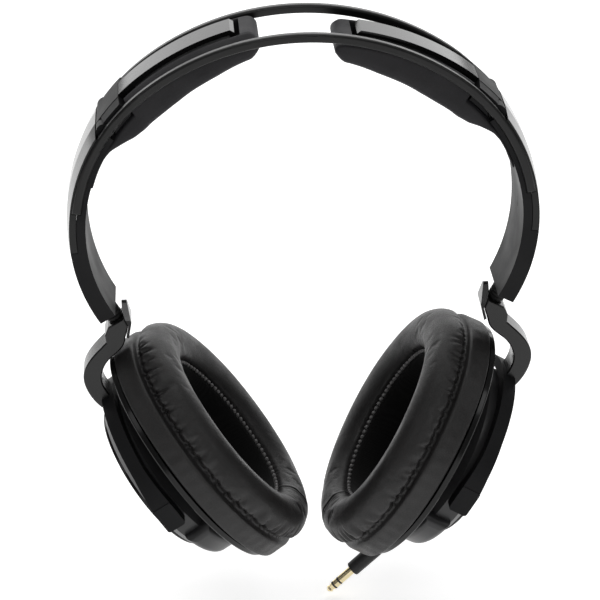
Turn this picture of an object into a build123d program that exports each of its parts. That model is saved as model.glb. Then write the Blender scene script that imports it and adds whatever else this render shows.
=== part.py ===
from build123d import *
from math import acos, cos, degrees, radians, sin, sqrt, tan
import os

# Over-ear headphones, in millimetres. +Z is up, -Y is the front and the origin is midway between
# the two ears, at the height of the ear pads' centres.

# Arch: the outer surface of both arms and of the headband, as three tangent arcs
SIDE_R = 75.8           # radius of each side arc
SIDE_X = 14.9           # side arc centres, either side of the middle
SIDE_Z = 95.0           # height of the side arc centres
JOIN_ANGLE = 54.0       # angle where a side arc becomes the top arc
TOP_R = SIDE_R + SIDE_X / cos(radians(JOIN_ANGLE))
TOP_Z = SIDE_Z - SIDE_X * tan(radians(JOIN_ANGLE))

# Bows: two thin hoops, one in front of the other
BOW_Y = 16.8            # middle plane of each bow, front or rear of the centre
BOW_WIDTH = 3.6         # along Y
BOW_DEPTH = 3.5         # across the hoop
BOW_SINK = 2.0          # how far the bow lies under the arch's outer surface
BOW_END_ANGLE = 9.0
BOW_ROUND = 1.0

# Arms
ARM_DEPTH = 7.4
ARM_TOP_HALF = 17.2     # half width at the upper end
ARM_LOW_HALF = 12.9     # half width at the lower end
ARM_LOW_ANGLE = -29.7
COVER_LOW_ANGLE = -4.5
COVER_SEAM_ANGLE = 0.2  # seam at the cover's lower end, as an arch angle
ARM_KNEE = 8.0          # height over the side arc's centre where the arm starts to narrow
COVER_DEPTH = 3.75
RIDGE_HALF = 6.5        # flat strip along the middle of the outer surface
SHOULDER_DROP = 1.2     # fall of the outer surface from the strip to the edge
SEAM = 0.25             # gap at a visible seam
RUN_GAP = 0.3           # gap between faces that turn past each other
CUT_PAST = 1.0          # how far a cutting shape passes the part it cuts
GROOVE_GAP = 0.1        # bow to its groove
GROOVE_END_ANGLE = 0.4  # how far the groove passes the bow's end, as an arch angle
GROOVE_FLOOR = BOW_Y - BOW_WIDTH / 2 - GROOVE_GAP

# Wings: the two padded supports that hang from the arms, between the bows
HINGE_ANGLE = 36.0
HINGE_DEPTH = 3.5       # hinge axis under the outer surface
HINGE_ROUND = 3.5
HINGE_GAP = 0.35
HINGE_PIN_R = 1.2
HINGE_PIN_PLAY = 0.05
HINGE_PIN_SINK = 0.5    # pin end under the ear's outer face
HINGE_BLOCK_HALF = 8.0
EAR_HALF = 14.3
EAR_R = HINGE_ROUND - 0.1
ROOT_DEPTH = 7.0        # thickness of the wing's root
ROOT_END_ANGLE = 45.5
PLATE_START_ANGLE = 45.7
PLATE_CHAMFER = 1.3
PLATE_TIP_ANGLE = 76.3
PLATE_THICK = 1.8
CARRIER_DEPTH = 5.6
CARRIER_THICK = 2.0
BLADE_START_ANGLE = 42.5
PLATE_LEGS = (2.5, 1.2)     # arch angle that the plate's two legs take up
PAD_HALF = 14.5
PAD_TOP_DEPTH = 2.2
PAD_STEP_ANGLE = 45.9
PAD_ROOT_ANGLE = 36.5
PAD_TIP_X = 14.5
PAD_BELLY = ((12.9, PAD_ROOT_ANGLE), (16.2, 46.0), (13.4, 68.0))    # (depth, side arc angle)
PAD_TOE = (17.1, 161.5)
CHANNEL_HALF = 9.0
CHANNEL_END_ANGLE = 76.9
WING_REST = {-1: 0.0, 1: 3.0}   # how far each wing hangs inwards at rest
SPRING_R = 2.4
SPRING_HALF = 3.0
SPRING_ROOM = 0.2

# Root pads, on the arms: (depth, arch angle) along the belly, then the thin tail
TAIL_LOW_ANGLE = 16.5
TAIL_HIGH_ANGLE = 28.0
TAIL_THICK = 1.3
ROOT_PAD_END = 35.7
ROOT_PAD_DEPTHS = ((12.7, ROOT_PAD_END), (9.4, 31.0))
GLUE_GAP = 0.05

# Screws, with a cross recess
SCREW_R = 1.1
SCREW_HEAD_R = 2.0
SCREW_HEAD_DEPTH = 1.2
RECESS_LENGTH = 2.6
RECESS_WIDTH = 0.55
RECESS_DEPTH = 0.6
ARM_SCREW_ANGLES = (12.0, 0.0)
ARM_SCREW_LENGTH = 4.2
CUP_SCREW_LENGTH = 8.0

# Swivel: pin between the arm's lower end and the hanger
SWIVEL_PIN_R = 2.2
SWIVEL_PLAY = 0.05
SWIVEL_IN_ARM = 9.0
SWIVEL_NECK = 5.8
SWIVEL_IN_HANGER = 4.0
NECK_R = 3.4
NECK_WAIST = 0.7        # how far the neck falls between its ribs
RIB_COUNT = 4

# Hanger: the S-shaped bracket, as points of the XZ plane on the right side
HANGER_HALF = 5.8
HANGER_ROUND = 0.7
HANGER_NECK_HALF = 3.6
HANGER_CHEEK = (-3.0, 10.0)     # (out of the swivel axis, down it) on the side next to the head
HANGER_STEP = ((79.3, 48.8), (79.0, 45.8))
HANGER_OUTER = ((82.8, 41.9), (86.6, 37.2), (88.7, 32.0), (88.0, 26.0))
HANGER_INNER = ((80.4, 25.4), (81.6, 29.4), (80.9, 33.9), (78.2, 38.2), (74.6, 41.4), (72.2, 44.2))
HANGER_THROAT = (71.3, 47.4)
FOOT_OUT = 4.7          # hanger's foot, either side of the fork's middle plane
FOOT_IN = 1.6

# Hanger cover and its fin: (out of the swivel axis, down it) points, then its lower end
FIN_FACE = ((-3.15, 10.0), (-3.75, 5.8), (-4.6, 3.0), (-6.3, 0.0), (-6.9, -2.6))
FIN_BACK = ((-8.0, -1.6), (-7.4, 2.5), (-5.0, 9.4))
FIN_FOOT = ((69.9, 46.9), (70.9, 47.4))
FIN_HALF = 5.0
FIN_TOP = 62.8          # height of the fin's point
FIN_SHOULDER = 54.6     # height of the fin's two sides
FIN_ROUND = 1.5

# Fork: half ring round the housing, hung from the hanger, with a pivot pin at each end
PIVOT_X = 57.6
PIVOT_Z = -13.3
FORK_LEAN = 32.2
FORK_IN_R = 38.6
FORK_OUT_R = 42.4
FORK_HALF = 2.75
FORK_END_HALF = 4.0     # half width of the fork's two ends
FORK_END_DROP = 5.6     # how far the ends run past the pivot
FORK_FLARE = (4.0, 20.0)
FORK_PAD = 0.8          # how far the ends stand in towards the housing
FORK_END_ROUND = 1.2
FORK_CLOSED = 1.2       # skin left over the pin's hole
FORK_CROWN = 39.0       # how far up the fork the hanger's foot reaches
PIVOT_PIN_R = 2.0
PIVOT_PLAY = 0.05
PIVOT_IN_CUP = 4.6
PIN_END_GAP = 0.4

# Cups: local Z points at the head and local Y up the cup, from the flange's head-side face
CUP_LEAN = {-1: 34.5, 1: 30.0}
PIVOT_BEHIND = 12.7     # pivot axis behind the flange's head-side face
FLANGE_LONG = 52.0      # half length of the flange's oval
FLANGE_END_R = 41.0     # radius of the oval's two end arcs
FLANGE_SHORT = 45.0
FLANGE_THICK = 2.4
FLANGE_ROUND = 0.8
NECK_DRUM_R = 34.0
NECK_TAPER = (-5.5, -8.5)       # where the neck widens into the drum
DRUM_R = 37.0
DRUM_EDGE = -15.8
DRUM_BACK = -18.5
INNER_TAPER = (-6.2, -9.2)
INNER_EDGE = -14.8
BACK_HOLE_R = 30.0
WALL = 2.0
CAP_R = 32.8
CAP_SEAT = 1.2          # drum's rim outside the cap
CAP_DOME = 4.0
CAP_LIP = 1.6
CAP_WALL = 2.4
BULGE_R = 41.0
BULGE_ANGLE = 68.0      # half of the bulge's arc, about straight down
BULGE_BACK = -15.5
BULGE_DEEP = 11.0
BULGE_SINK = 3.4
BULGE_ROUND = 3.2
SOCKET_WALL = 1.6       # round the pivot pin, inside the drum
SOCKET_FLOOR = 1.5
SOCKET_SINK = 0.6

# Driver, felt and cup screws
DRIVER_R = 20.0
DRIVER_HOLE_R = 18.6
BASKET_WALL = 2.0
BASKET_BACK = -9.0
BASKET_FLOOR = 1.4
MAGNET_R = 12.0
MAGNET_BACK = -14.5
MAGNET_FRONT = -6.0
FILM_R = 19.9
FILM_DOME_R = 9.0
FILM_LEVELS = (-3.6, -3.2, -2.4)    # back, front and top of the dome
GRILLE_R = 22.0
GRILLE_THICK = 1.0
GRILLE_PITCH = 5.2      # between rings of holes
GRILLE_RINGS = 3
GRILLE_FIRST = 6        # holes in the first ring
GRILLE_HOLE_R = 1.3
FELT_R = 29.8
FELT_GAP = 0.1
SCREW_CIRCLE_R = 28.5
CUP_SCREW_COUNT = 4
CUP_SCREW_START = 45.0
POST_R = 3.4
POST_HOLE_DEPTH = 7.0

# Ear pad, a soft ring
PAD_LONG = 54.0
PAD_DROP = 1.0          # how far the pad's middle lies below the flange's
PAD_BASE_GAP = 0.3
PAD_HEIGHT = 22.6
PAD_WALL = 21.0
PAD_OUT_ROUND = 9.4
PAD_IN_ROUND = 8.0
PAD_TUCK = 0.4
LINING_GAP = 0.5
LINING_LOW = 1.5
LINING_HIGH = 2.0

# Plug: a short fixed lead stub with a 3.5 mm jack, on the right cup
PLUG_START = (-40.0, -12.4)     # along the cup, from the flange
PLUG_SLOPE = 17.0               # degrees that the stub leans towards the head
BOOT_LENGTH = 29.0
BOOT_R = 3.3
BOOT_END_R = 3.05
JACK_R = 1.75
SLEEVE_LENGTH = 7.2
RING_LENGTH = 2.1
INSULATOR_LENGTH = 0.8
TIP_LENGTH = 3.6
TIP_STEPS = ((0.45, 1.0, 0.72), (0.2, 0.72, 0.95), (0.35, 0.95, 0.3))    # length, start and end radius

SIDES = {"left": -1, "right": 1}
os.makedirs("parts", exist_ok=True)


def save(part, name):
    """Label a finished piece and write it."""
    part.label = name
    export_step(part, f"parts/{name}.step")


# ---------------------------------------------------------------- places

def on_side(depth, angle):
    """Point at a depth under the right side arc, in the XZ plane."""
    reach = SIDE_R - depth
    return (SIDE_X + reach * cos(radians(angle)), SIDE_Z + reach * sin(radians(angle)))


def on_top(depth, x):
    """Point at a depth under the top arc."""
    return (x, TOP_Z + sqrt((TOP_R - depth) ** 2 - x ** 2))


def axle(point, half_length, radius):
    """Cylinder along Y through a point of the XZ plane."""
    with BuildPart() as rod:
        with BuildSketch(Plane.XZ):
            with Locations(point):
                Circle(radius)
        extrude(amount=half_length, both=True)
    return rod.part


def radial_plane(depth, angle):
    """Plane on the right side arc whose normal points out of the arch."""
    x, z = on_side(depth, angle)
    outward = (cos(radians(angle)), 0, sin(radians(angle)))
    return Plane(origin=(x, 0, z), x_dir=(0, 1, 0), z_dir=outward)


def section_plane(angle):
    """Plane through the right side arc's centre, with local Y pointing out along the angle."""
    across = (sin(radians(angle)), 0, -cos(radians(angle)))
    return Plane(origin=(SIDE_X, 0, SIDE_Z), x_dir=(0, 1, 0), z_dir=across)


def swivel_plane():
    """Plane at the arm's lower end; its normal points down along the swivel axis."""
    x, z = on_side(ARM_DEPTH / 2, ARM_LOW_ANGLE)
    down = (sin(radians(ARM_LOW_ANGLE)), 0, -cos(radians(ARM_LOW_ANGLE)))
    return Plane(origin=(x, 0, z), x_dir=(0, 1, 0), z_dir=down)


def leaning_plane(side, lean, ahead):
    """Plane square to a cup's axis, a distance ahead of the pivot towards the head."""
    toward = Vector(-side * cos(radians(lean)), 0, sin(radians(lean)))
    origin = Vector(side * PIVOT_X, 0, PIVOT_Z) + toward * ahead
    return Plane(origin=origin, x_dir=(0, -side, 0), z_dir=toward)


def fork_plane():
    return leaning_plane(1, FORK_LEAN, 0)


def cup_plane(side):
    return leaning_plane(side, CUP_LEAN[side], PIVOT_BEHIND)


# ---------------------------------------------------------------- shared outlines

def arch_line(depth, start, stop):
    """Edges along the arch at a depth, from one arch angle to a larger one."""
    if start < JOIN_ANGLE:
        CenterArc((SIDE_X, SIDE_Z), SIDE_R - depth, start, min(stop, JOIN_ANGLE) - start)
    if stop > JOIN_ANGLE:
        from_join = max(start, JOIN_ANGLE)
        CenterArc((0, TOP_Z), TOP_R - depth, from_join, stop - from_join)


def arch_end(depth, angle):
    """End point of an arch line."""
    if angle <= JOIN_ANGLE:
        return on_side(depth, angle)
    return ((TOP_R - depth) * cos(radians(angle)), TOP_Z + (TOP_R - depth) * sin(radians(angle)))


def strip(outer, inner, start, stop, half_width):
    """Solid between two depths of the arch, centred on the middle plane."""
    with BuildPart() as band:
        with BuildSketch(Plane.XZ):
            with BuildLine():
                arch_line(outer, start, stop)
                arch_line(inner, start, stop)
                Line(arch_end(outer, start), arch_end(inner, start))
                Line(arch_end(outer, stop), arch_end(inner, stop))
            make_face()
        extrude(amount=half_width, both=True)
    return band.part


def arm_section(outer, inner, start, stop):
    """Arm cross-section turned about the side arc's centre: a flat ridge with sloping shoulders."""
    edge = max(outer, SHOULDER_DROP)
    axis = Axis((SIDE_X, 0, SIDE_Z), (0, -1, 0))
    with BuildPart() as arm:
        with BuildSketch(section_plane(start)):
            with BuildLine():
                Polyline(
                    (-ARM_TOP_HALF, SIDE_R - inner),
                    (-ARM_TOP_HALF, SIDE_R - edge),
                    (-RIDGE_HALF, SIDE_R - outer),
                    (RIDGE_HALF, SIDE_R - outer),
                    (ARM_TOP_HALF, SIDE_R - edge),
                    (ARM_TOP_HALF, SIDE_R - inner),
                    close=True,
                )
            make_face()
        revolve(axis=axis, revolution_arc=stop - start)
    return arm.part


def arm_taper():
    """Wedge that narrows the arm towards its lower end, seen from the side."""
    top = SIDE_Z + SIDE_R
    low = SIDE_Z - SIDE_R
    knee = SIDE_Z + ARM_KNEE
    foot = on_side(0, ARM_LOW_ANGLE)[1]
    with BuildPart() as wedge:
        with BuildSketch(Plane.YZ):
            Polygon(
                (-ARM_TOP_HALF, top),
                (-ARM_TOP_HALF, knee),
                (-ARM_LOW_HALF, foot),
                (-ARM_LOW_HALF, low),
                (ARM_LOW_HALF, low),
                (ARM_LOW_HALF, foot),
                (ARM_TOP_HALF, knee),
                (ARM_TOP_HALF, top),
                align=None,
            )
        extrude(amount=SIDE_X + SIDE_R + ARM_DEPTH)
    return wedge.part


def oval_line(grow, long_half=FLANGE_LONG):
    """Edges of the four-arc oval, grown outwards from the flange's edge; its long axis is along Y."""
    long = long_half + grow
    short = FLANGE_SHORT + grow
    end_r = FLANGE_END_R + grow
    side_x = ((long - end_r) ** 2 - (short - end_r) ** 2) / (2 * (short - end_r))
    side_r = short + side_x
    turn = degrees(acos(side_x / sqrt(side_x ** 2 + (long - end_r) ** 2)))
    CenterArc((0, long - end_r), end_r, turn, 180 - 2 * turn)
    CenterArc((side_x, 0), side_r, 180 - turn, 2 * turn)
    CenterArc((0, end_r - long), end_r, 180 + turn, 180 - 2 * turn)
    CenterArc((-side_x, 0), side_r, -turn, 2 * turn)


def oval_plate(grow, low, high, long_half=FLANGE_LONG):
    with BuildPart() as plate:
        with BuildSketch(Plane.XY.offset(low)):
            with BuildLine():
                oval_line(grow, long_half)
            make_face()
        extrude(amount=high - low)
    return plate.part


def disc(radius, low, high, hole=0.0):
    """Round plate or ring about the cup's axis."""
    with BuildPart() as plate:
        with BuildSketch(Plane.XY.offset(low)):
            Circle(radius)
            if hole:
                Circle(hole, mode=Mode.SUBTRACT)
        extrude(amount=high - low)
    return plate.part


# ---------------------------------------------------------------- headband

def bow(y):
    """Thin hoop over the head, from inside one arm to inside the other."""
    depth = BOW_SINK + BOW_DEPTH
    side_arc = JOIN_ANGLE - BOW_END_ANGLE
    with BuildPart() as hoop:
        with BuildSketch(Plane.XZ.offset(-y)):
            with BuildLine():
                for level in (BOW_SINK, depth):
                    CenterArc((SIDE_X, SIDE_Z), SIDE_R - level, BOW_END_ANGLE, side_arc)
                    CenterArc((0, TOP_Z), TOP_R - level, JOIN_ANGLE, 180 - 2 * JOIN_ANGLE)
                    CenterArc((-SIDE_X, SIDE_Z), SIDE_R - level, 180 - JOIN_ANGLE, side_arc)
                for side in SIDES.values():
                    x, z = on_side(BOW_SINK, BOW_END_ANGLE)
                    x_in, z_in = on_side(depth, BOW_END_ANGLE)
                    Line((side * x, z), (side * x_in, z_in))
            make_face()
        extrude(amount=BOW_WIDTH / 2, both=True)
        long_edges = hoop.faces().filter_by(Axis.Y).edges()
        fillet(long_edges, BOW_ROUND)
    return hoop.part


def bow_grooves():
    """Grooves that the two bows lie in, on the arm's front and rear faces."""
    start = BOW_END_ANGLE - GROOVE_END_ANGLE
    floor = BOW_SINK + BOW_DEPTH + GROOVE_GAP
    slot = strip(BOW_SINK - GROOVE_GAP, floor, start, JOIN_ANGLE, 2 * ARM_TOP_HALF)
    core = strip(0, ARM_DEPTH, start - CUT_PAST, JOIN_ANGLE + CUT_PAST, GROOVE_FLOOR)
    return slot - core


def hinge_clearance():
    """Room for the wing's hinge block in the arm's upper end."""
    centre = on_side(HINGE_DEPTH, HINGE_ANGLE)
    return axle(centre, HINGE_BLOCK_HALF + HINGE_GAP, HINGE_ROUND + HINGE_GAP)


def arm_shell():
    """Inner half of the arm and its whole lower end, with the hinge ears and the swivel bore."""
    hinge = on_side(HINGE_DEPTH, HINGE_ANGLE)
    blank = arm_section(COVER_DEPTH + SEAM, ARM_DEPTH, ARM_LOW_ANGLE, HINGE_ANGLE)
    lower = arm_section(0, ARM_DEPTH, ARM_LOW_ANGLE, COVER_LOW_ANGLE)
    ears = axle(hinge, EAR_HALF, EAR_R)
    socket = swivel_plane()
    with BuildPart() as shell:
        add(blank)
        add(lower)
        add(ears)
        add(arm_taper(), mode=Mode.INTERSECT)
        add(bow_grooves(), mode=Mode.SUBTRACT)
        add(hinge_clearance(), mode=Mode.SUBTRACT)
        add(axle(hinge, ARM_TOP_HALF, HINGE_PIN_R), mode=Mode.SUBTRACT)
        with BuildSketch(socket):
            Circle(SWIVEL_PIN_R + SWIVEL_PLAY)
        extrude(amount=-SWIVEL_IN_ARM - CUT_PAST, mode=Mode.SUBTRACT)
        add(arm_screw_blanks(), mode=Mode.SUBTRACT)
    return shell.part


def arm_cover():
    """Glossy outer half of the arm, from the wing's hinge to below the bows' ends."""
    hinge = on_side(HINGE_DEPTH, HINGE_ANGLE)
    blank = arm_section(0, COVER_DEPTH, COVER_LOW_ANGLE + COVER_SEAM_ANGLE, HINGE_ANGLE)
    with BuildPart() as cover:
        add(blank)
        add(arm_taper(), mode=Mode.INTERSECT)
        add(bow_grooves(), mode=Mode.SUBTRACT)
        add(axle(hinge, ARM_TOP_HALF + CUT_PAST, HINGE_ROUND + HINGE_GAP), mode=Mode.SUBTRACT)
        add(arm_screw_blanks(), mode=Mode.SUBTRACT)
    return cover.part


def arm_screw_blanks():
    """Two screws without their recesses, which are also the holes they fill."""
    with BuildPart() as screws:
        for angle in ARM_SCREW_ANGLES:
            with BuildSketch(radial_plane(ARM_DEPTH, angle)):
                Circle(SCREW_HEAD_R)
            extrude(amount=SCREW_HEAD_DEPTH)
            with BuildSketch(radial_plane(ARM_DEPTH - SCREW_HEAD_DEPTH, angle)):
                Circle(SCREW_R)
            extrude(amount=ARM_SCREW_LENGTH)
    return screws.part


def cross_recess(plane):
    """Cross to cut from a screw's head, from a plane whose normal points into the head."""
    with BuildPart() as cross:
        with BuildSketch(plane):
            Rectangle(RECESS_LENGTH, RECESS_WIDTH)
            Rectangle(RECESS_WIDTH, RECESS_LENGTH)
        extrude(amount=RECESS_DEPTH)
    return cross.part


def arm_screws():
    """Two screws from the arm's inner face into the cover, with their heads flush."""
    with BuildPart() as screws:
        add(arm_screw_blanks())
        for angle in ARM_SCREW_ANGLES:
            add(cross_recess(radial_plane(ARM_DEPTH, angle)), mode=Mode.SUBTRACT)
    return screws.part


def root_pad():
    """Soft strip on the arm's inner face, thin at its tail and thickening up to the wing."""
    top = ARM_DEPTH + GLUE_GAP
    low = ARM_DEPTH + TAIL_THICK
    with BuildPart() as pad:
        with BuildSketch(Plane.XZ):
            with BuildLine():
                arch_line(top, TAIL_LOW_ANGLE, ROOT_PAD_END)
                arch_line(low, TAIL_LOW_ANGLE, TAIL_HIGH_ANGLE)
                Polyline(
                    on_side(top, ROOT_PAD_END),
                    *(on_side(depth, angle) for depth, angle in ROOT_PAD_DEPTHS),
                    on_side(low, TAIL_HIGH_ANGLE),
                )
                Line(on_side(low, TAIL_LOW_ANGLE), on_side(top, TAIL_LOW_ANGLE))
            make_face()
        extrude(amount=PAD_HALF, both=True)
    return pad.part


# ---------------------------------------------------------------- wings

def wing_carrier():
    """Wide root with its hinge block, and the thin curved blade that holds the pad."""
    hinge = on_side(HINGE_DEPTH, HINGE_ANGLE)
    floor = CARRIER_DEPTH + CARRIER_THICK
    root_width = strip(-CUT_PAST, floor, HINGE_ANGLE - CUT_PAST, ROOT_END_ANGLE + CUT_PAST, PAD_HALF)
    with BuildPart() as carrier:
        add(arm_section(0, ROOT_DEPTH, HINGE_ANGLE, ROOT_END_ANGLE))
        add(root_width, mode=Mode.INTERSECT)
        add(axle(hinge, ARM_TOP_HALF, HINGE_ROUND + HINGE_GAP), mode=Mode.SUBTRACT)
        add(axle(hinge, HINGE_BLOCK_HALF, HINGE_ROUND))
        add(strip(0, ROOT_DEPTH, HINGE_ANGLE, ROOT_END_ANGLE, HINGE_BLOCK_HALF))
        add(strip(CARRIER_DEPTH, floor, BLADE_START_ANGLE, PLATE_TIP_ANGLE, HINGE_BLOCK_HALF))
        add(axle(hinge, ARM_TOP_HALF, HINGE_PIN_R), mode=Mode.SUBTRACT)
        add(spring_space(), mode=Mode.SUBTRACT)
    return carrier.part


def wing_plate():
    """Glossy strap over the wing, joined to the carrier at its root and bent down at its tip."""
    tip = PLATE_TIP_ANGLE
    with BuildPart() as plate:
        add(strip(0, PLATE_THICK, PLATE_START_ANGLE, tip, RIDGE_HALF))
        add(strip(0, CARRIER_DEPTH, PLATE_START_ANGLE, PLATE_START_ANGLE + PLATE_LEGS[0], RIDGE_HALF))
        add(strip(0, CARRIER_DEPTH, tip - PLATE_LEGS[1], tip, RIDGE_HALF))
        chamfer(plate.edges().filter_by(Axis.Y).sort_by(Axis.Z)[-1], PLATE_CHAMFER)
    return plate.part


def wing_pad():
    """Soft pad under the wing's carrier, with a channel along its top for the plate."""
    floor = CARRIER_DEPTH + CARRIER_THICK
    tip_angle = degrees(acos(PAD_TIP_X / (TOP_R - PAD_TOP_DEPTH)))
    belly = [on_side(depth, angle) for depth, angle in PAD_BELLY]
    with BuildPart() as pad:
        with BuildSketch(Plane.XZ):
            with BuildLine():
                arch_line(PAD_TOP_DEPTH, PAD_STEP_ANGLE, tip_angle)
                Line(on_side(PAD_TOP_DEPTH, PAD_STEP_ANGLE), on_side(floor, PAD_STEP_ANGLE))
                arch_line(floor, PAD_ROOT_ANGLE, PAD_STEP_ANGLE)
                Line(on_side(floor, PAD_ROOT_ANGLE), belly[0])
                Spline(*belly, PAD_TOE)
                Line(PAD_TOE, on_top(PAD_TOP_DEPTH, PAD_TIP_X))
            make_face()
        extrude(amount=PAD_HALF, both=True)
        add(strip(0, floor, HINGE_ANGLE, CHANNEL_END_ANGLE, CHANNEL_HALF), mode=Mode.SUBTRACT)
    return pad.part


def spring_space():
    """Slot in the hinge block for the torsion spring."""
    hinge = on_side(HINGE_DEPTH, HINGE_ANGLE)
    with BuildPart() as space:
        with BuildSketch(Plane.XZ):
            with Locations(hinge):
                Circle(SPRING_R + SPRING_ROOM)
        extrude(amount=SPRING_HALF + SPRING_ROOM, both=True)
    return space.part


def wing_spring():
    """Torsion spring on the hinge pin, drawn as its closed coil."""
    with BuildPart() as spring:
        with BuildSketch(Plane.XZ):
            with Locations(on_side(HINGE_DEPTH, HINGE_ANGLE)):
                Circle(SPRING_R)
                Circle(HINGE_PIN_R + SPRING_ROOM, mode=Mode.SUBTRACT)
        extrude(amount=SPRING_HALF, both=True)
    return spring.part


def wing_pin():
    """Hinge pin, fixed in the arm's two ears."""
    return axle(on_side(HINGE_DEPTH, HINGE_ANGLE), EAR_HALF - HINGE_PIN_SINK, HINGE_PIN_R - HINGE_PIN_PLAY)


# ---------------------------------------------------------------- swivel and hanger

def swivel_pin():
    """Ribbed neck with a plain shank at each end."""
    axis_plane = swivel_plane()
    rib = SWIVEL_NECK / (2 * RIB_COUNT + 1)
    with BuildPart() as pin:
        with BuildSketch(axis_plane.offset(-SWIVEL_IN_ARM)):
            Circle(SWIVEL_PIN_R)
        extrude(amount=SWIVEL_IN_ARM + SWIVEL_NECK + SWIVEL_IN_HANGER)
        with BuildSketch(axis_plane.offset(RUN_GAP)):
            Circle(NECK_R - NECK_WAIST)
        extrude(amount=SWIVEL_NECK - RUN_GAP)
        for number in range(RIB_COUNT):
            with BuildSketch(axis_plane.offset((2 * number + 1) * rib)):
                Circle(NECK_R)
            extrude(amount=rib)
    return pin.part


def swivel_hole():
    """The pin's lower seat, in the hanger."""
    with BuildPart() as hole:
        with BuildSketch(swivel_plane().offset(SWIVEL_NECK)):
            Circle(SWIVEL_PIN_R)
        extrude(amount=SWIVEL_IN_HANGER)
    return hole.part


def hanger_top(across, along):
    """Point near the hanger's top: across is outwards from the swivel axis, along is down it."""
    frame = swivel_plane()
    spot = frame.origin + frame.z_dir * along + Vector(-frame.z_dir.Z, 0, frame.z_dir.X) * across
    return (spot.X, spot.Z)


def fork_spot(along, ahead):
    """Point in the XZ plane, measured up the fork and towards the head from the pivot."""
    frame = fork_plane()
    spot = frame.origin + frame.y_dir * along + frame.z_dir * ahead
    return (spot.X, spot.Z)


def hanger():
    """S-shaped bracket from the swivel out round the flange's top and down over the fork's crown."""
    foot_out = fork_spot(FORK_CROWN, -FOOT_OUT)
    foot_in = fork_spot(FORK_CROWN, FOOT_IN)
    step_high, step_low = HANGER_STEP
    neck_out = hanger_top(HANGER_NECK_HALF, SWIVEL_NECK)
    neck_in = hanger_top(-HANGER_NECK_HALF, SWIVEL_NECK)
    cheek = hanger_top(*HANGER_CHEEK)
    with BuildPart() as bracket:
        with BuildSketch(Plane.XZ):
            with BuildLine():
                Line(foot_in, foot_out)
                Spline(foot_out, *reversed(HANGER_OUTER), step_low)
                Polyline(step_low, step_high, neck_out, neck_in, cheek, HANGER_THROAT)
                Spline(HANGER_THROAT, *reversed(HANGER_INNER), foot_in)
            make_face()
        extrude(amount=HANGER_HALF, both=True)
        fillet(bracket.edges().filter_by(Plane.XZ).group_by(Axis.Y)[0], HANGER_ROUND)
        fillet(bracket.edges().filter_by(Plane.XZ).group_by(Axis.Y)[-1], HANGER_ROUND)
        add(swivel_hole(), mode=Mode.SUBTRACT)
        add(fork(), mode=Mode.SUBTRACT)
    return bracket.part


def hanger_cover():
    """Inner cover of the hanger, with a pointed fin that stands inside the arm's lower end."""
    with BuildPart() as cover:
        with BuildSketch(Plane.XZ):
            Polygon(
                FIN_FOOT[1],
                *(hanger_top(across, along) for across, along in FIN_FACE + FIN_BACK),
                FIN_FOOT[0],
                align=None,
            )
        extrude(amount=FIN_HALF, both=True)
        with BuildSketch(Plane.YZ) as tongue:
            Polygon(
                (0, FIN_TOP),
                (FIN_HALF, FIN_SHOULDER),
                (FIN_HALF, 0),
                (-FIN_HALF, 0),
                (-FIN_HALF, FIN_SHOULDER),
                align=None,
            )
            fillet(tongue.vertices().sort_by(Axis.Y)[-1], FIN_ROUND)
        extrude(amount=2 * SIDE_R, mode=Mode.INTERSECT)
    return cover.part


def fork_blank():
    """Half ring whose arms widen into two square ends, in its own frame."""
    arm = FORK_OUT_R - FORK_IN_R + FORK_PAD
    arm_middle = FORK_OUT_R - arm / 2
    flare_low, flare_high = FORK_FLARE
    with BuildPart() as ring:
        with BuildSketch(Plane.XY.offset(-FORK_END_HALF)):
            Circle(FORK_OUT_R)
            Circle(FORK_IN_R, mode=Mode.SUBTRACT)
            with Locations((0, -FORK_OUT_R)):
                Rectangle(3 * FORK_OUT_R, 2 * FORK_OUT_R, mode=Mode.SUBTRACT)
            with Locations((arm_middle, 0), (-arm_middle, 0)):
                Rectangle(arm, 2 * FORK_END_DROP)
        extrude(amount=2 * FORK_END_HALF)
        with BuildSketch(Plane.YZ) as profile:
            Polygon(
                (-FORK_END_DROP, -FORK_END_HALF),
                (flare_low, -FORK_END_HALF),
                (flare_high, -FORK_HALF),
                (2 * FORK_OUT_R, -FORK_HALF),
                (2 * FORK_OUT_R, FORK_HALF),
                (flare_high, FORK_HALF),
                (flare_low, FORK_END_HALF),
                (-FORK_END_DROP, FORK_END_HALF),
                align=None,
            )
            fillet(profile.vertices().sort_by(Axis.X)[:2], FORK_END_ROUND)
        extrude(amount=2 * FORK_OUT_R, both=True, mode=Mode.INTERSECT)
    return ring.part


def pivot_rods(start):
    """Front and rear rods on the pivot axis, from a distance off the middle to under the fork's skin."""
    frame = fork_plane()
    with BuildPart() as rods:
        for side in SIDES.values():
            with BuildSketch(Plane(origin=frame.origin + Vector(0, side * start, 0),
                                   x_dir=(1, 0, 0), z_dir=(0, side, 0))):
                Circle(PIVOT_PIN_R)
            extrude(amount=FORK_OUT_R - FORK_CLOSED - start)
    return rods.part


def fork():
    """Half ring round the housing, with a blind hole for a pivot pin in each end."""
    with BuildPart() as piece:
        add(fork_blank().moved(fork_plane().location))
        add(pivot_rods(FORK_IN_R - 2 * FORK_PAD), mode=Mode.SUBTRACT)
    return piece.part


def pivot_pins():
    """Front and rear pins, pressed into the fork and turning in the housing."""
    return pivot_rods(DRUM_R - PIVOT_IN_CUP + PIN_END_GAP)


# ---------------------------------------------------------------- cups, in their own frame

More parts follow.
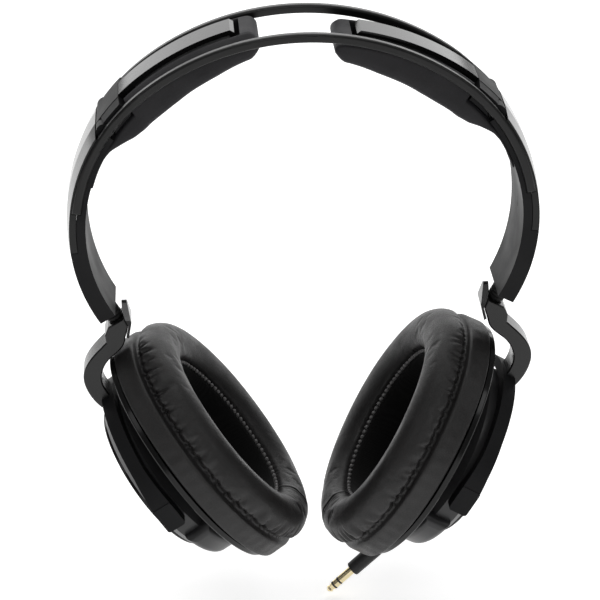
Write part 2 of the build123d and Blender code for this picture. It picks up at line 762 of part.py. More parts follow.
def flange():
    """Oval plate that carries the driver, with the pad round its edge."""
    with BuildPart() as plate:
        add(oval_plate(0, -FLANGE_THICK, 0))
        fillet(plate.edges().group_by(Axis.Z)[0], FLANGE_ROUND)
        with BuildSketch(Plane.XY):
            Circle(DRIVER_HOLE_R)
            with PolarLocations(SCREW_CIRCLE_R, CUP_SCREW_COUNT, CUP_SCREW_START):
                Circle(SCREW_R)
        extrude(amount=-FLANGE_THICK, mode=Mode.SUBTRACT)
        with BuildSketch(Plane.XY):
            with PolarLocations(SCREW_CIRCLE_R, CUP_SCREW_COUNT, CUP_SCREW_START):
                Circle(SCREW_HEAD_R)
        extrude(amount=-SCREW_HEAD_DEPTH, mode=Mode.SUBTRACT)
    return plate.part


def housing_bulge():
    """Rounded thickening along the lower edge of the housing."""
    reach = 2 * BULGE_R
    spread = reach * tan(radians(BULGE_ANGLE))
    with BuildPart() as bulge:
        with BuildSketch(Plane.XY.offset(BULGE_BACK)):
            Circle(BULGE_R)
            Circle(DRUM_R - BULGE_SINK, mode=Mode.SUBTRACT)
            Polygon((0, 0), (-spread, -reach), (spread, -reach), align=None, mode=Mode.INTERSECT)
        extrude(amount=BULGE_DEEP)
        outer = bulge.faces().filter_by(GeomType.CYLINDER).sort_by(SortBy.RADIUS)[-1]
        fillet(outer.edges(), BULGE_ROUND)
    return bulge.part


def back_frame():
    """Ring in the back of the drum that carries the cap and the four screw posts."""
    with BuildPart() as frame:
        add(disc(CAP_R + CAP_SEAT - GLUE_GAP, DRUM_BACK, DRUM_BACK + WALL, BACK_HOLE_R))
        with BuildSketch(Plane.XY.offset(DRUM_BACK + WALL)):
            with PolarLocations(SCREW_CIRCLE_R, CUP_SCREW_COUNT, CUP_SCREW_START):
                Circle(POST_R)
        extrude(amount=-FLANGE_THICK - DRUM_BACK - WALL)
        with BuildSketch(Plane.XY.offset(-FLANGE_THICK)):
            with PolarLocations(SCREW_CIRCLE_R, CUP_SCREW_COUNT, CUP_SCREW_START):
                Circle(SCREW_R)
        extrude(amount=-POST_HOLE_DEPTH, mode=Mode.SUBTRACT)
    return frame.part


def housing():
    """Drum with a narrower neck, a bulge along its lower edge and two pivot sockets."""
    with BuildPart() as shell:
        with BuildSketch(Plane.XZ):
            Polygon(
                (NECK_DRUM_R, -FLANGE_THICK),
                (NECK_DRUM_R, NECK_TAPER[0]),
                (DRUM_R, NECK_TAPER[1]),
                (DRUM_R, DRUM_EDGE),
                (CAP_R + CAP_SEAT, DRUM_BACK),
                (CAP_R + CAP_SEAT, DRUM_BACK + WALL),
                (DRUM_R - WALL, INNER_EDGE),
                (DRUM_R - WALL, INNER_TAPER[1]),
                (NECK_DRUM_R - WALL, INNER_TAPER[0]),
                (NECK_DRUM_R - WALL, -FLANGE_THICK),
                align=None,
            )
        revolve(axis=Axis.Z)
        add(housing_bulge())
        for side in SIDES.values():
            wall = DRUM_R - PIVOT_IN_CUP - SOCKET_FLOOR
            with BuildSketch(Plane(origin=(side * wall, 0, -PIVOT_BEHIND),
                                   x_dir=(0, 1, 0), z_dir=(side, 0, 0))):
                Circle(PIVOT_PIN_R + SOCKET_WALL)
            extrude(amount=DRUM_R - SOCKET_SINK - wall)
            with BuildSketch(Plane(origin=(side * (wall + SOCKET_FLOOR), 0, -PIVOT_BEHIND),
                                   x_dir=(0, 1, 0), z_dir=(side, 0, 0))):
                Circle(PIVOT_PIN_R + PIVOT_PLAY)
            extrude(amount=PIVOT_IN_CUP + CUT_PAST, mode=Mode.SUBTRACT)
    return shell.part


def plug_housing():
    """The housing of the cup that carries the plug, with the boot's seat cut into its bulge."""
    with BuildPart() as shell:
        add(housing())
        add(plug_boot(), mode=Mode.SUBTRACT)
    return shell.part


def dome_arc(reach, rim, crown):
    """Arc of a shallow dome's section, from its rim to its crown on the axis."""
    fall = rim - crown
    ball = (reach ** 2 + fall ** 2) / (2 * fall)
    middle = ball - sqrt(ball ** 2 - (reach / 2) ** 2)
    ThreePointArc((reach, rim), (reach / 2, crown + middle), (0, crown))


def outer_cap():
    """Slightly domed round cap on the housing's back."""
    crown = DRUM_BACK - CAP_DOME
    rim = DRUM_BACK - CAP_LIP
    inner_reach = CAP_R - CAP_WALL
    with BuildPart() as cap:
        with BuildSketch(Plane.XZ):
            with BuildLine():
                dome_arc(CAP_R, rim, crown)
                dome_arc(inner_reach, DRUM_BACK, crown + CAP_WALL)
                Polyline((CAP_R, rim), (CAP_R, DRUM_BACK), (inner_reach, DRUM_BACK))
                Line((0, crown + CAP_WALL), (0, crown))
            make_face()
        revolve(axis=Axis.Z)
    return cap.part


def housing_screws():
    """Four screws from the flange into the back frame's posts."""
    with BuildPart() as screws:
        with BuildSketch(Plane.XY):
            with PolarLocations(SCREW_CIRCLE_R, CUP_SCREW_COUNT, CUP_SCREW_START):
                Circle(SCREW_HEAD_R)
        extrude(amount=-SCREW_HEAD_DEPTH)
        with BuildSketch(Plane.XY.offset(-SCREW_HEAD_DEPTH)):
            with PolarLocations(SCREW_CIRCLE_R, CUP_SCREW_COUNT, CUP_SCREW_START):
                Circle(SCREW_R)
        extrude(amount=-CUP_SCREW_LENGTH)
        with BuildSketch(Plane.XY):
            with PolarLocations(SCREW_CIRCLE_R, CUP_SCREW_COUNT, CUP_SCREW_START):
                Rectangle(RECESS_LENGTH, RECESS_WIDTH)
                Rectangle(RECESS_WIDTH, RECESS_LENGTH)
        extrude(amount=-RECESS_DEPTH, mode=Mode.SUBTRACT)
    return screws.part


def driver_frame():
    """Basket behind the flange's hole."""
    with BuildPart() as basket:
        add(disc(DRIVER_R + BASKET_WALL, BASKET_BACK, -FLANGE_THICK, DRIVER_R))
        add(disc(DRIVER_R + BASKET_WALL, BASKET_BACK, BASKET_BACK + BASKET_FLOOR, MAGNET_R))
    return basket.part


def driver_magnet():
    return disc(MAGNET_R, MAGNET_BACK, MAGNET_FRONT)


def diaphragm():
    """Thin cone disc with a raised dome."""
    back, front, top = FILM_LEVELS
    with BuildPart() as membrane:
        add(disc(FILM_R, back, front))
        add(disc(FILM_DOME_R, front, top))
    return membrane.part


def driver_grille():
    """Round plate in front of the driver, with rings of sound holes."""
    with BuildPart() as plate:
        add(disc(GRILLE_R, 0, GRILLE_THICK))
        with BuildSketch(Plane.XY.offset(GRILLE_THICK)):
            for ring in range(1, GRILLE_RINGS + 1):
                with PolarLocations(GRILLE_PITCH * ring, GRILLE_FIRST * ring):
                    Circle(GRILLE_HOLE_R)
        extrude(amount=-GRILLE_THICK, mode=Mode.SUBTRACT)
    return plate.part


def damping_felt():
    return disc(FELT_R, DRUM_BACK + FELT_GAP, DRUM_BACK + WALL - FELT_GAP)


def pad_lining():
    """Thin fabric screen across the pad's opening."""
    screen = oval_plate(-PAD_WALL - LINING_GAP, LINING_LOW, LINING_HIGH, PAD_LONG)
    return screen.moved(Location((0, -PAD_DROP, 0)))


def ear_pad():
    """Soft ring against the ear, closed and plain."""
    with BuildPart() as pad:
        add(oval_plate(-PAD_TUCK, PAD_BASE_GAP, PAD_HEIGHT, PAD_LONG))
        add(oval_plate(-PAD_WALL, PAD_BASE_GAP, PAD_HEIGHT, PAD_LONG), mode=Mode.SUBTRACT)
        fillet(pad.faces().sort_by(Axis.Z)[-1].outer_wire().edges(), PAD_OUT_ROUND)
        fillet(pad.faces().sort_by(Axis.Z)[-1].inner_wires()[0].edges(), PAD_IN_ROUND)
    return pad.part.moved(Location((0, -PAD_DROP, 0)))


# ---------------------------------------------------------------- plug, in the right cup's frame

def plug_plane(distance):
    """Plane square to the plug's axis, a distance along it from the housing."""
    slope = radians(PLUG_SLOPE)
    along, ahead = PLUG_START
    direction = Vector(0, -cos(slope), sin(slope))
    return Plane(origin=Vector(0, along, ahead) + direction * distance, x_dir=(1, 0, 0), z_dir=direction)


def plug_section(start, length, radius, end_radius):
    with BuildPart() as piece:
        with BuildSketch(plug_plane(start)):
            Circle(radius)
        with BuildSketch(plug_plane(start + length)):
            Circle(end_radius)
        loft()
    return piece.part


def plug_boot():
    """Moulded body of the plug, slightly tapered."""
    return plug_section(0, BOOT_LENGTH, BOOT_R, BOOT_END_R)


def plug_pieces():
    """Jack pieces from the moulded body to the tip."""
    lengths = {
        "plug_sleeve": SLEEVE_LENGTH,
        "plug_insulator_back": INSULATOR_LENGTH,
        "plug_ring": RING_LENGTH,
        "plug_insulator_front": INSULATOR_LENGTH,
    }
    reached = BOOT_LENGTH
    pieces = {}
    for name, length in lengths.items():
        pieces[name] = plug_section(reached, length, JACK_R, JACK_R)
        reached += length
    with BuildPart() as tip:
        for share, wide, narrow in TIP_STEPS:
            length = TIP_LENGTH * share
            add(plug_section(reached, length, JACK_R * wide, JACK_R * narrow))
            reached += length
    pieces["plug_tip"] = tip.part
    return pieces


HEAD_PIECES = {
    "arm_shell": arm_shell,
    "arm_cover": arm_cover,
    "arm_screws": arm_screws,
    "root_pad": root_pad,
    "wing_pin": wing_pin,
    "wing_spring": wing_spring,
    "swivel_pin": swivel_pin,
    "hanger": hanger,
    "hanger_cover": hanger_cover,
    "fork": fork,
    "pivot_pins": pivot_pins,
}

WING_PIECES = {
    "wing_carrier": wing_carrier,
    "wing_plate": wing_plate,
    "wing_pad": wing_pad,
}

CUP_PIECES = {
    "flange": flange,
    "back_frame": back_frame,
    "outer_cap": outer_cap,
    "housing_screws": housing_screws,
    "driver_frame": driver_frame,
    "driver_magnet": driver_magnet,
    "diaphragm": diaphragm,
    "driver_grille": driver_grille,
    "damping_felt": damping_felt,
    "pad_lining": pad_lining,
    "ear_pad": ear_pad,
}

save(bow(-BOW_Y), "front_bow")
save(bow(BOW_Y), "rear_bow")
for name, make in HEAD_PIECES.items():
    save(make(), f"right_{name}")
    save(mirror(make(), about=Plane.YZ), f"left_{name}")
hinge_x, hinge_z = on_side(HINGE_DEPTH, HINGE_ANGLE)
hinge_axis = Axis((hinge_x, 0, hinge_z), (0, -1, 0))
for name, make in WING_PIECES.items():
    save(make().rotate(hinge_axis, WING_REST[1]), f"right_{name}")
    save(mirror(make().rotate(hinge_axis, WING_REST[-1]), about=Plane.YZ), f"left_{name}")
for side_name, side in SIDES.items():
    place = cup_plane(side).location
    shell = plug_housing() if side_name == "right" else housing()
    save(shell.moved(place), f"{side_name}_housing")
    for name, make in CUP_PIECES.items():
        save(make().moved(place), f"{side_name}_{name}")
right_cup = cup_plane(SIDES["right"]).location
save(plug_boot().moved(right_cup), "plug_boot")
for name, piece in plug_pieces().items():
    save(piece.moved(right_cup), name)
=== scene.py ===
import math
import random

import bpy
import numpy as np
from mathutils import Matrix, Vector


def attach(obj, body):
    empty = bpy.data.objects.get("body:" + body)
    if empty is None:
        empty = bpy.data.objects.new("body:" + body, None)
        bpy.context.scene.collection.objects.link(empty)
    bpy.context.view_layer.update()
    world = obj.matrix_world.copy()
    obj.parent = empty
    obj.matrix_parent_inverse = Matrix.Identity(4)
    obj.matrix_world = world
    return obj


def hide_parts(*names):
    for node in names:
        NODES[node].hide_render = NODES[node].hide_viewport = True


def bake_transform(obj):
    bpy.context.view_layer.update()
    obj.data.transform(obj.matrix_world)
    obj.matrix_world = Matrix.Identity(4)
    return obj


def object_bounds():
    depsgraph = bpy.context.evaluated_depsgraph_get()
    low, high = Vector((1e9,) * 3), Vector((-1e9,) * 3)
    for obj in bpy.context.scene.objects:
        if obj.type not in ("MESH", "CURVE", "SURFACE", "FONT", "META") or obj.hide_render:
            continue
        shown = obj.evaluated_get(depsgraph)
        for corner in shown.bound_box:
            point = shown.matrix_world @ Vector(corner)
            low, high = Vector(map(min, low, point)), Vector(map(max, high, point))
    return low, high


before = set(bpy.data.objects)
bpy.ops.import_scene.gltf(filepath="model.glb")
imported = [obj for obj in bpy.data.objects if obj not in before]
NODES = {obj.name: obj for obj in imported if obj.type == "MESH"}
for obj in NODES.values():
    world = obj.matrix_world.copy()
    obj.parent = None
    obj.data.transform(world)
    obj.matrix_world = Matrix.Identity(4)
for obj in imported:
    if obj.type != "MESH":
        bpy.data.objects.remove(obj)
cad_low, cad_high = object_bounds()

MM = 0.001
SIDES = {"left": -1, "right": 1}

# ------------------------------------------------------------------ the design's places, in mm

SIDE_R, SIDE_X, SIDE_Z = 75.8, 14.9, 95.0       # the arch's side arcs: radius and centre
JOIN = math.radians(54.0)                       # where a side arc meets the top arc
TOP_R = SIDE_R + SIDE_X / math.cos(JOIN)
TOP_Z = SIDE_Z - SIDE_X * math.tan(JOIN)
HINGE_ANGLE, HINGE_DEPTH = 36.0, 3.5            # the wing's hinge pin on the arch
WING_REST = {-1: 0.0, 1: 3.0}                   # how far each wing hangs inwards, in degrees
CUP_LEAN = {-1: 34.5, 1: 30.0}                  # each cup's lean at rest, in degrees
PIVOT_X, PIVOT_Z, PIVOT_BEHIND = 57.6, -13.3, 12.7      # the cup's pivots, and their depth in it
OVAL_LONG, OVAL_SHORT, OVAL_END_R = 54.0, 45.0, 41.0    # the pad oval's half sizes and end radius
OVAL_DROP = 1.0                                 # how far the oval's middle is under the pivots
OVAL_FLAT = OVAL_LONG - OVAL_END_R              # from the middle to an end arc's centre
OVAL_SIDE_X = (OVAL_FLAT ** 2 - (OVAL_SHORT - OVAL_END_R) ** 2) / (2 * (OVAL_SHORT - OVAL_END_R))
OVAL_TURN = math.atan2(OVAL_FLAT, OVAL_SIDE_X)  # normal angle where a side arc meets an end arc


def arch(depth, degrees_, side=1):
    """Point (x, z) at a depth under the arch's outer surface, at an arch angle."""
    a = math.radians(degrees_)
    if a <= JOIN:
        reach = SIDE_R - depth
        return side * (SIDE_X + reach * math.cos(a)), SIDE_Z + reach * math.sin(a)
    reach = TOP_R - depth
    return side * reach * math.cos(a), TOP_Z + reach * math.sin(a)


def matrix_of(axes, origin):
    """Matrix with three axes and an origin, in metres, as its columns."""
    m = Matrix.Identity(4)
    for column, values in enumerate((*axes, origin)):
        for row in range(3):
            m[row][column] = values[row]
    return m


def cup_matrix(side):
    """The cup's frame: X across, Y up the cup, Z towards the head, in metres."""
    lean = math.radians(CUP_LEAN[side])
    toward = Vector((-side * math.cos(lean), 0, math.sin(lean)))
    up = Vector((side * math.sin(lean), 0, math.cos(lean)))
    across = Vector((0, -side, 0))
    origin = Vector((side * PIVOT_X, 0, PIVOT_Z)) + toward * PIVOT_BEHIND
    return matrix_of((across, up, toward), [c * MM for c in origin])


def oval_point(grow, theta):
    """Point of the grown four-arc oval whose outward normal is at angle theta."""
    c, s = math.cos(theta), math.sin(theta)
    if abs(math.atan2(s, abs(c))) > OVAL_TURN:
        centre, radius = (0, math.copysign(OVAL_FLAT, s)), OVAL_END_R + grow
    else:
        centre, radius = (-math.copysign(OVAL_SIDE_X, c), 0), OVAL_SHORT + OVAL_SIDE_X + grow
    return centre[0] + radius * c, centre[1] + radius * s - OVAL_DROP


def oval_thetas(count, grow):
    """Normal angles that are evenly spaced along the oval, from straight down, counter-clockwise."""
    fine = 2880     # chords the oval's length is measured along
    angles = [-math.pi / 2 + 2 * math.pi * i / fine for i in range(fine + 1)]
    points = np.array([oval_point(grow, t) for t in angles])
    run = np.concatenate([[0], np.cumsum(np.linalg.norm(np.diff(points, axis=0), axis=1))])
    wanted = np.linspace(0, run[-1], count, endpoint=False)
    return list(np.interp(wanted, run, angles))


def oval_ring(thetas, grow, height, ripple=lambda k: 0.0):
    """One ring of points round the oval, in metres; ripple adds to the growth at each point."""
    ring = []
    for k, theta in enumerate(thetas):
        x, y = oval_point(grow + ripple(k), theta)
        ring.append((x * MM, y * MM, height * MM))
    return ring


# ------------------------------------------------------------------ mesh helpers

def mesh_object(name, vertices, faces, smooth=True):
    mesh = bpy.data.meshes.new(name)
    mesh.from_pydata([tuple(v) for v in vertices], [], faces)
    mesh.update()
    mesh.polygons.foreach_set("use_smooth", [smooth] * len(mesh.polygons))
    obj = bpy.data.objects.new(name, mesh)
    bpy.context.scene.collection.objects.link(obj)
    return obj


def grid_faces(rings, count, closed_rings, flip=False):
    """Quads between rings of count points; each ring is closed on itself."""
    faces = []
    for r in range(rings if closed_rings else rings - 1):
        for i in range(count):
            a, b = r * count + i, r * count + (i + 1) % count
            c, d = ((r + 1) % rings) * count + (i + 1) % count, ((r + 1) % rings) * count + i
            faces.append((a, d, c, b) if flip else (a, b, c, d))
    return faces


def apply_modifiers(obj):
    """Replaces the mesh by what its modifiers make of it."""
    graph = bpy.context.evaluated_depsgraph_get()
    mesh = bpy.data.meshes.new_from_object(obj.evaluated_get(graph))
    mesh.name = obj.name
    obj.modifiers.clear()
    obj.data = mesh


def subdivide(obj):
    """One applied subdivision, shaded smooth."""
    m = obj.modifiers.new("Subdivision", "SUBSURF")
    m.levels = m.render_levels = 1
    apply_modifiers(obj)
    for p in obj.data.polygons:
        p.use_smooth = True


def thicken(obj, thickness, offset):
    """Gives a sheet its thickness, in mm."""
    m = obj.modifiers.new("Thickness", "SOLIDIFY")
    m.thickness = thickness * MM
    m.offset = offset
    apply_modifiers(obj)


def soften_edges(obj, width):
    """Small rounded edges on a CAD node, as a modifier."""
    m = obj.modifiers.new("Rounded edges", "BEVEL")
    m.width = width * MM
    m.segments = 2
    m.limit_method = "ANGLE"
    m.angle_limit = math.radians(38)
    m.use_clamp_overlap = True
    m.harden_normals = False


# ------------------------------------------------------------------ materials

BAND_PERIOD = 314.159   # mm, one band of the wave texture at scale 1


class Look:
    """Builds one procedural material on a Principled shader, with feature sizes in mm."""

    def __init__(self, name, **constants):
        self.material = bpy.data.materials.new(name)
        self.material.use_nodes = True
        self.tree = self.material.node_tree
        self.shader = self.tree.nodes["Principled BSDF"]
        for socket, value in constants.items():
            self.shader.inputs[socket.replace("_", " ")].default_value = value
        self.coords = self.tree.nodes.new("ShaderNodeTexCoord").outputs["Object"]
        self.normal = None

    def node(self, kind, **settings):
        n = self.tree.nodes.new(kind)
        for key, value in settings.items():
            setattr(n, key, value)
        return n

    def link(self, a, b):
        self.tree.links.new(a, b)

    def stretched(self, scale, turn=(0, 0, 0)):
        m = self.node("ShaderNodeMapping")
        m.inputs["Scale"].default_value = scale
        m.inputs["Rotation"].default_value = turn
        self.link(self.coords, m.inputs["Vector"])
        return m.outputs["Vector"]

    def noise(self, size_mm, detail=3.0, roughness=0.55, vector=None):
        n = self.node("ShaderNodeTexNoise")
        n.inputs["Scale"].default_value = 1000.0 / size_mm
        n.inputs["Detail"].default_value = detail
        n.inputs["Roughness"].default_value = roughness
        self.link(vector or self.coords, n.inputs["Vector"])
        return n.outputs["Fac"]

    def cells(self, size_mm, vector):
        """Distance to the edges of irregular cells."""
        n = self.node("ShaderNodeTexVoronoi", feature="DISTANCE_TO_EDGE")
        n.inputs["Scale"].default_value = 1000.0 / size_mm
        n.inputs["Randomness"].default_value = 1.0
        self.link(vector, n.inputs["Vector"])
        return n.outputs["Distance"]

    def bands(self, size_mm, direction, distortion):
        n = self.node("ShaderNodeTexWave", wave_type="BANDS", bands_direction=direction)
        n.inputs["Scale"].default_value = BAND_PERIOD / size_mm
        n.inputs["Distortion"].default_value = distortion
        self.link(self.coords, n.inputs["Vector"])
        return n.outputs["Fac"]

    def remap(self, value, low, high, to_low, to_high):
        n = self.node("ShaderNodeMapRange")
        for key, v in (("From Min", low), ("From Max", high), ("To Min", to_low), ("To Max", to_high)):
            n.inputs[key].default_value = v
        self.link(value, n.inputs["Value"])
        return n.outputs["Result"]

    def maths(self, operation, a, b):
        n = self.node("ShaderNodeMath", operation=operation)
        for socket, v in ((n.inputs[0], a), (n.inputs[1], b)):
            if isinstance(v, (int, float)):
                socket.default_value = v
            else:
                self.link(v, socket)
        return n.outputs[0]

    def colours(self, factor, first, second):
        """Base colour between two colours."""
        n = self.node("ShaderNodeMix", data_type="RGBA")
        n.inputs["A"].default_value = (*first, 1)
        n.inputs["B"].default_value = (*second, 1)
        self.link(factor, n.inputs["Factor"])
        self.link(n.outputs["Result"], self.shader.inputs["Base Color"])
        return n.outputs["Result"]

    def tint(self, factor, colour, onto):
        """Another colour over the ones so far."""
        n = self.node("ShaderNodeMix", data_type="RGBA")
        n.inputs["B"].default_value = (*colour, 1)
        self.link(onto, n.inputs["A"])
        self.link(factor, n.inputs["Factor"])
        self.link(n.outputs["Result"], self.shader.inputs["Base Color"])

    def roughness(self, value):
        self.link(value, self.shader.inputs["Roughness"])

    def bump(self, height, depth_mm, strength=1.0):
        """Adds a bump on top of the ones so far."""
        n = self.node("ShaderNodeBump")
        n.inputs["Strength"].default_value = strength
        n.inputs["Distance"].default_value = depth_mm * MM
        self.link(height, n.inputs["Height"])
        if self.normal is not None:
            self.link(self.normal, n.inputs["Normal"])
        self.normal = n.outputs["Normal"]
        self.link(self.normal, self.shader.inputs["Normal"])

    def edges(self, radius_mm):
        """1 along sharp edges and 0 elsewhere, broken up by noise."""
        bevel = self.node("ShaderNodeBevel", samples=4)
        bevel.inputs["Radius"].default_value = radius_mm * MM
        flat = self.node("ShaderNodeNewGeometry")
        dot = self.node("ShaderNodeVectorMath", operation="DOT_PRODUCT")
        self.link(bevel.outputs["Normal"], dot.inputs[0])
        self.link(flat.outputs["Normal"], dot.inputs[1])
        worn = self.remap(dot.outputs["Value"], 1.0, 0.75, 0.0, 1.0)
        patches = self.remap(self.noise(3.5, 4), 0.45, 0.7, 0.0, 1.0)
        return self.maths("MULTIPLY", worn, patches)


def moulded(name, base, rough, grain_mm, grain_depth, wear, tint=(0.0, 0.0, 0.0), **constants):
    """Moulded plastic: fine grain, slow shade changes, scuffs and slightly paler worn edges."""
    look = Look(name, **constants)
    dark = tuple(base * 0.82 + t for t in tint)
    light = tuple(base * 1.22 + t for t in tint)
    shade = look.remap(look.noise(38, 2), 0.35, 0.65, 0.0, 1.0)
    colour = look.colours(shade, dark, light)
    worn = look.edges(0.5)
    look.tint(look.maths("MULTIPLY", worn, wear), tuple(base * 4 + 0.02 for _ in range(3)), colour)
    slow = look.remap(look.noise(16, 3), 0.3, 0.7, rough[0], rough[1])
    scuff = look.noise(1.2, 5, 0.7, look.stretched((1, 9, 1), (0.4, 0.7, 0.2)))
    marks = look.remap(scuff, 0.62, 0.72, 0.0, 0.10)
    look.roughness(look.maths("ADD", look.maths("ADD", slow, marks), look.maths("MULTIPLY", worn, 0.15)))
    look.bump(look.noise(grain_mm, 2, 0.6), grain_depth)
    return look.material


def metal(name, colour, rough, streak_mm, depth=0.004):
    """Drawn or turned metal: fine streaks in colour and surface, and uneven polish."""
    look = Look(name, Metallic=1.0)
    streaks = look.noise(streak_mm, 4, 0.7, look.stretched((1, 1, 7)))
    darker = tuple(c * 0.72 for c in colour)
    look.colours(look.remap(streaks, 0.3, 0.7, 0.0, 1.0), darker, colour)
    look.roughness(look.remap(look.noise(2.2, 3), 0.3, 0.7, rough[0], rough[1]))
    look.bump(streaks, depth)
    return look.material


def leatherette():
    """Black coated leather: pebbles with fine wrinkles, darker valleys, and wear in shine."""
    look = Look("leatherette", IOR=1.47, Specular_IOR_Level=0.42, Sheen_Weight=0.03, Sheen_Roughness=0.4,
                Coat_Weight=0.05, Coat_Roughness=0.34)
    look.shader.inputs["Sheen Tint"].default_value = (0.8, 0.78, 0.8, 1)
    warp = look.node("ShaderNodeTexNoise")
    warp.inputs["Scale"].default_value = 700
    look.link(look.coords, warp.inputs["Vector"])
    shifted = look.node("ShaderNodeVectorMath", operation="MULTIPLY_ADD")
    shifted.inputs[1].default_value = (0.0005, 0.0005, 0.0005)
    look.link(warp.outputs["Color"], shifted.inputs[0])
    look.link(look.coords, shifted.inputs[2])
    vector = shifted.outputs[0]
    pebbles = look.remap(look.cells(0.85, vector), 0.0, 0.22, 0.0, 1.0)
    fine = look.remap(look.cells(0.36, vector), 0.0, 0.3, 0.0, 1.0)
    shade = look.remap(look.noise(22, 3), 0.35, 0.65, 0.0, 1.0)
    colour = look.colours(shade, (0.0060, 0.0054, 0.0054), (0.0105, 0.0095, 0.0095))
    look.tint(look.remap(pebbles, 0.0, 0.5, 0.55, 0.0), (0.003, 0.0027, 0.0027), colour)
    base = look.remap(look.noise(8, 4), 0.3, 0.7, 0.36, 0.54)
    look.roughness(look.maths("ADD", base, look.remap(pebbles, 0.0, 0.6, 0.12, 0.0)))
    look.bump(look.noise(6.5, 3, 0.5, look.stretched((1, 1, 2.2))), 0.34, 0.5)
    look.bump(pebbles, 0.035, 0.8)
    look.bump(fine, 0.012, 0.8)
    return look.material


def pad_rubber():
    """Soft matte moulded pad: cool tint, fine stipple and faint handling shine."""
    look = Look("pad_soft", IOR=1.45, Specular_IOR_Level=0.30, Sheen_Weight=0.05, Sheen_Roughness=0.55)
    look.shader.inputs["Sheen Tint"].default_value = (0.75, 0.76, 0.85, 1)
    shade = look.remap(look.noise(30, 2), 0.35, 0.65, 0.0, 1.0)
    colour = look.colours(shade, (0.0088, 0.0084, 0.0094), (0.0130, 0.0124, 0.0138))
    stipple = look.noise(0.42, 3, 0.7)
    look.tint(look.remap(stipple, 0.5, 0.72, 0.0, 0.5), (0.022, 0.021, 0.024), colour)
    look.roughness(look.remap(look.noise(13, 4), 0.3, 0.7, 0.55, 0.72))
    look.bump(look.noise(6, 2), 0.10, 0.4)
    look.bump(stipple, 0.045, 0.9)
    return look.material


def woven(name, dark, light, thread_mm, depth, sheen):
    """Plain weave made of two crossing sets of threads."""
    look = Look(name, IOR=1.4, Specular_IOR_Level=0.2, Sheen_Weight=sheen, Sheen_Roughness=0.6)
    warp = look.bands(thread_mm, "X", 0.4)
    weft = look.bands(thread_mm, "Y", 0.4)
    weave = look.maths("MULTIPLY", warp, weft)
    fluff = look.noise(0.3, 4, 0.7)
    height = look.maths("ADD", weave, look.maths("MULTIPLY", fluff, 0.35))
    colour = look.colours(look.remap(height, 0.1, 0.9, 0.0, 1.0), dark, light)
    look.tint(look.remap(look.noise(14, 3), 0.45, 0.7, 0.0, 0.4), tuple(c * 0.6 for c in light), colour)
    look.roughness(look.remap(fluff, 0.3, 0.7, 0.8, 0.95))
    look.bump(height, depth)
    return look.material


def thread():
    """Twisted grey sewing thread."""
    look = Look("sewing_thread", IOR=1.5, Specular_IOR_Level=0.45, Sheen_Weight=0.2)
    twist = look.noise(0.22, 3, 0.6, look.stretched((1, 1, 3), (0.5, 0.3, 0)))
    look.colours(look.remap(twist, 0.35, 0.65, 0, 1), (0.07, 0.068, 0.068), (0.17, 0.165, 0.165))
    look.roughness(look.remap(twist, 0.3, 0.7, 0.32, 0.48))
    look.bump(twist, 0.06)
    return look.material


def floor_paper():
    """Pale studio paper."""
    look = Look("studio_floor", IOR=1.4, Specular_IOR_Level=0.1, Emission_Strength=0.50)
    look.shader.inputs["Emission Color"].default_value = (1, 1, 1, 1)
    look.colours(look.noise(420, 3), (0.90, 0.90, 0.90), (0.93, 0.93, 0.93))
    look.roughness(look.remap(look.noise(60, 3), 0.3, 0.7, 0.75, 0.85))
    look.bump(look.noise(2.5, 3), 0.02, 0.3)
    return look.material


GLOSS = moulded("gloss_plastic", 0.0045, (0.11, 0.19), 0.9, 0.0035, 0.25, IOR=1.5, Specular_IOR_Level=0.24,
                Coat_Weight=0.05, Coat_Roughness=0.06)
SATIN = moulded("satin_plastic", 0.0048, (0.44, 0.57), 0.35, 0.014, 0.12, tint=(0.0, 0.0, 0.0006), IOR=1.45,
                Specular_IOR_Level=0.18)
HOUSING = moulded("housing_coat", 0.016, (0.30, 0.42), 0.5, 0.01, 0.2, tint=(0.0, 0.0, 0.0008), IOR=1.5,
                  Specular_IOR_Level=0.45)
HANGER = moulded("hanger_coat", 0.0055, (0.17, 0.27), 0.6, 0.006, 0.2, IOR=1.5, Specular_IOR_Level=0.40)
BOW = moulded("bow_coat", 0.0050, (0.26, 0.36), 0.5, 0.008, 0.15, IOR=1.5, Specular_IOR_Level=0.28,
              Coat_Weight=0.05, Coat_Roughness=0.2)
NECK = moulded("neck_rubber", 0.011, (0.55, 0.68), 0.3, 0.03, 0.15, IOR=1.45, Specular_IOR_Level=0.35)
BOOT = moulded("boot_rubber", 0.013, (0.42, 0.55), 0.3, 0.02, 0.25, IOR=1.47, Specular_IOR_Level=0.4)
INSULATOR = moulded("insulator", 0.016, (0.3, 0.4), 0.2, 0.006, 0.2, IOR=1.49)
SCREW_STEEL = metal("screw_steel", (0.33, 0.33, 0.34), (0.24, 0.38), 0.6)
PIN_STEEL = metal("pin_steel", (0.55, 0.55, 0.56), (0.2, 0.34), 0.8)
MAGNET = metal("magnet_steel", (0.6, 0.6, 0.61), (0.25, 0.4), 1.2)
GRILLE = metal("grille_metal", (0.10, 0.10, 0.105), (0.4, 0.55), 0.4)
GOLD = metal("jack_gold", (0.93, 0.80, 0.50), (0.14, 0.26), 0.35, 0.003)
FILM = moulded("film", 0.05, (0.18, 0.3), 0.6, 0.01, 0.1, tint=(0.01, 0.008, 0.0), IOR=1.55)
FELT = woven("felt", (0.010, 0.010, 0.010), (0.030, 0.030, 0.030), 0.9, 0.12, 0.5)
LINING = woven("lining_fabric", (0.004, 0.004, 0.004), (0.016, 0.0155, 0.0155), 0.55, 0.10, 0.15)
# the sleeve's near-black colour is painted shade: it makes the inside of the ear's opening look dark
PAINTED_SHADE_SLEEVE = woven("painted_shade_sleeve_fabric", (0.0015, 0.0015, 0.0015), (0.005, 0.0048, 0.0048), 0.5, 0.05, 0.05)
LEATHER = leatherette()
PAD = pad_rubber()
THREAD = thread()

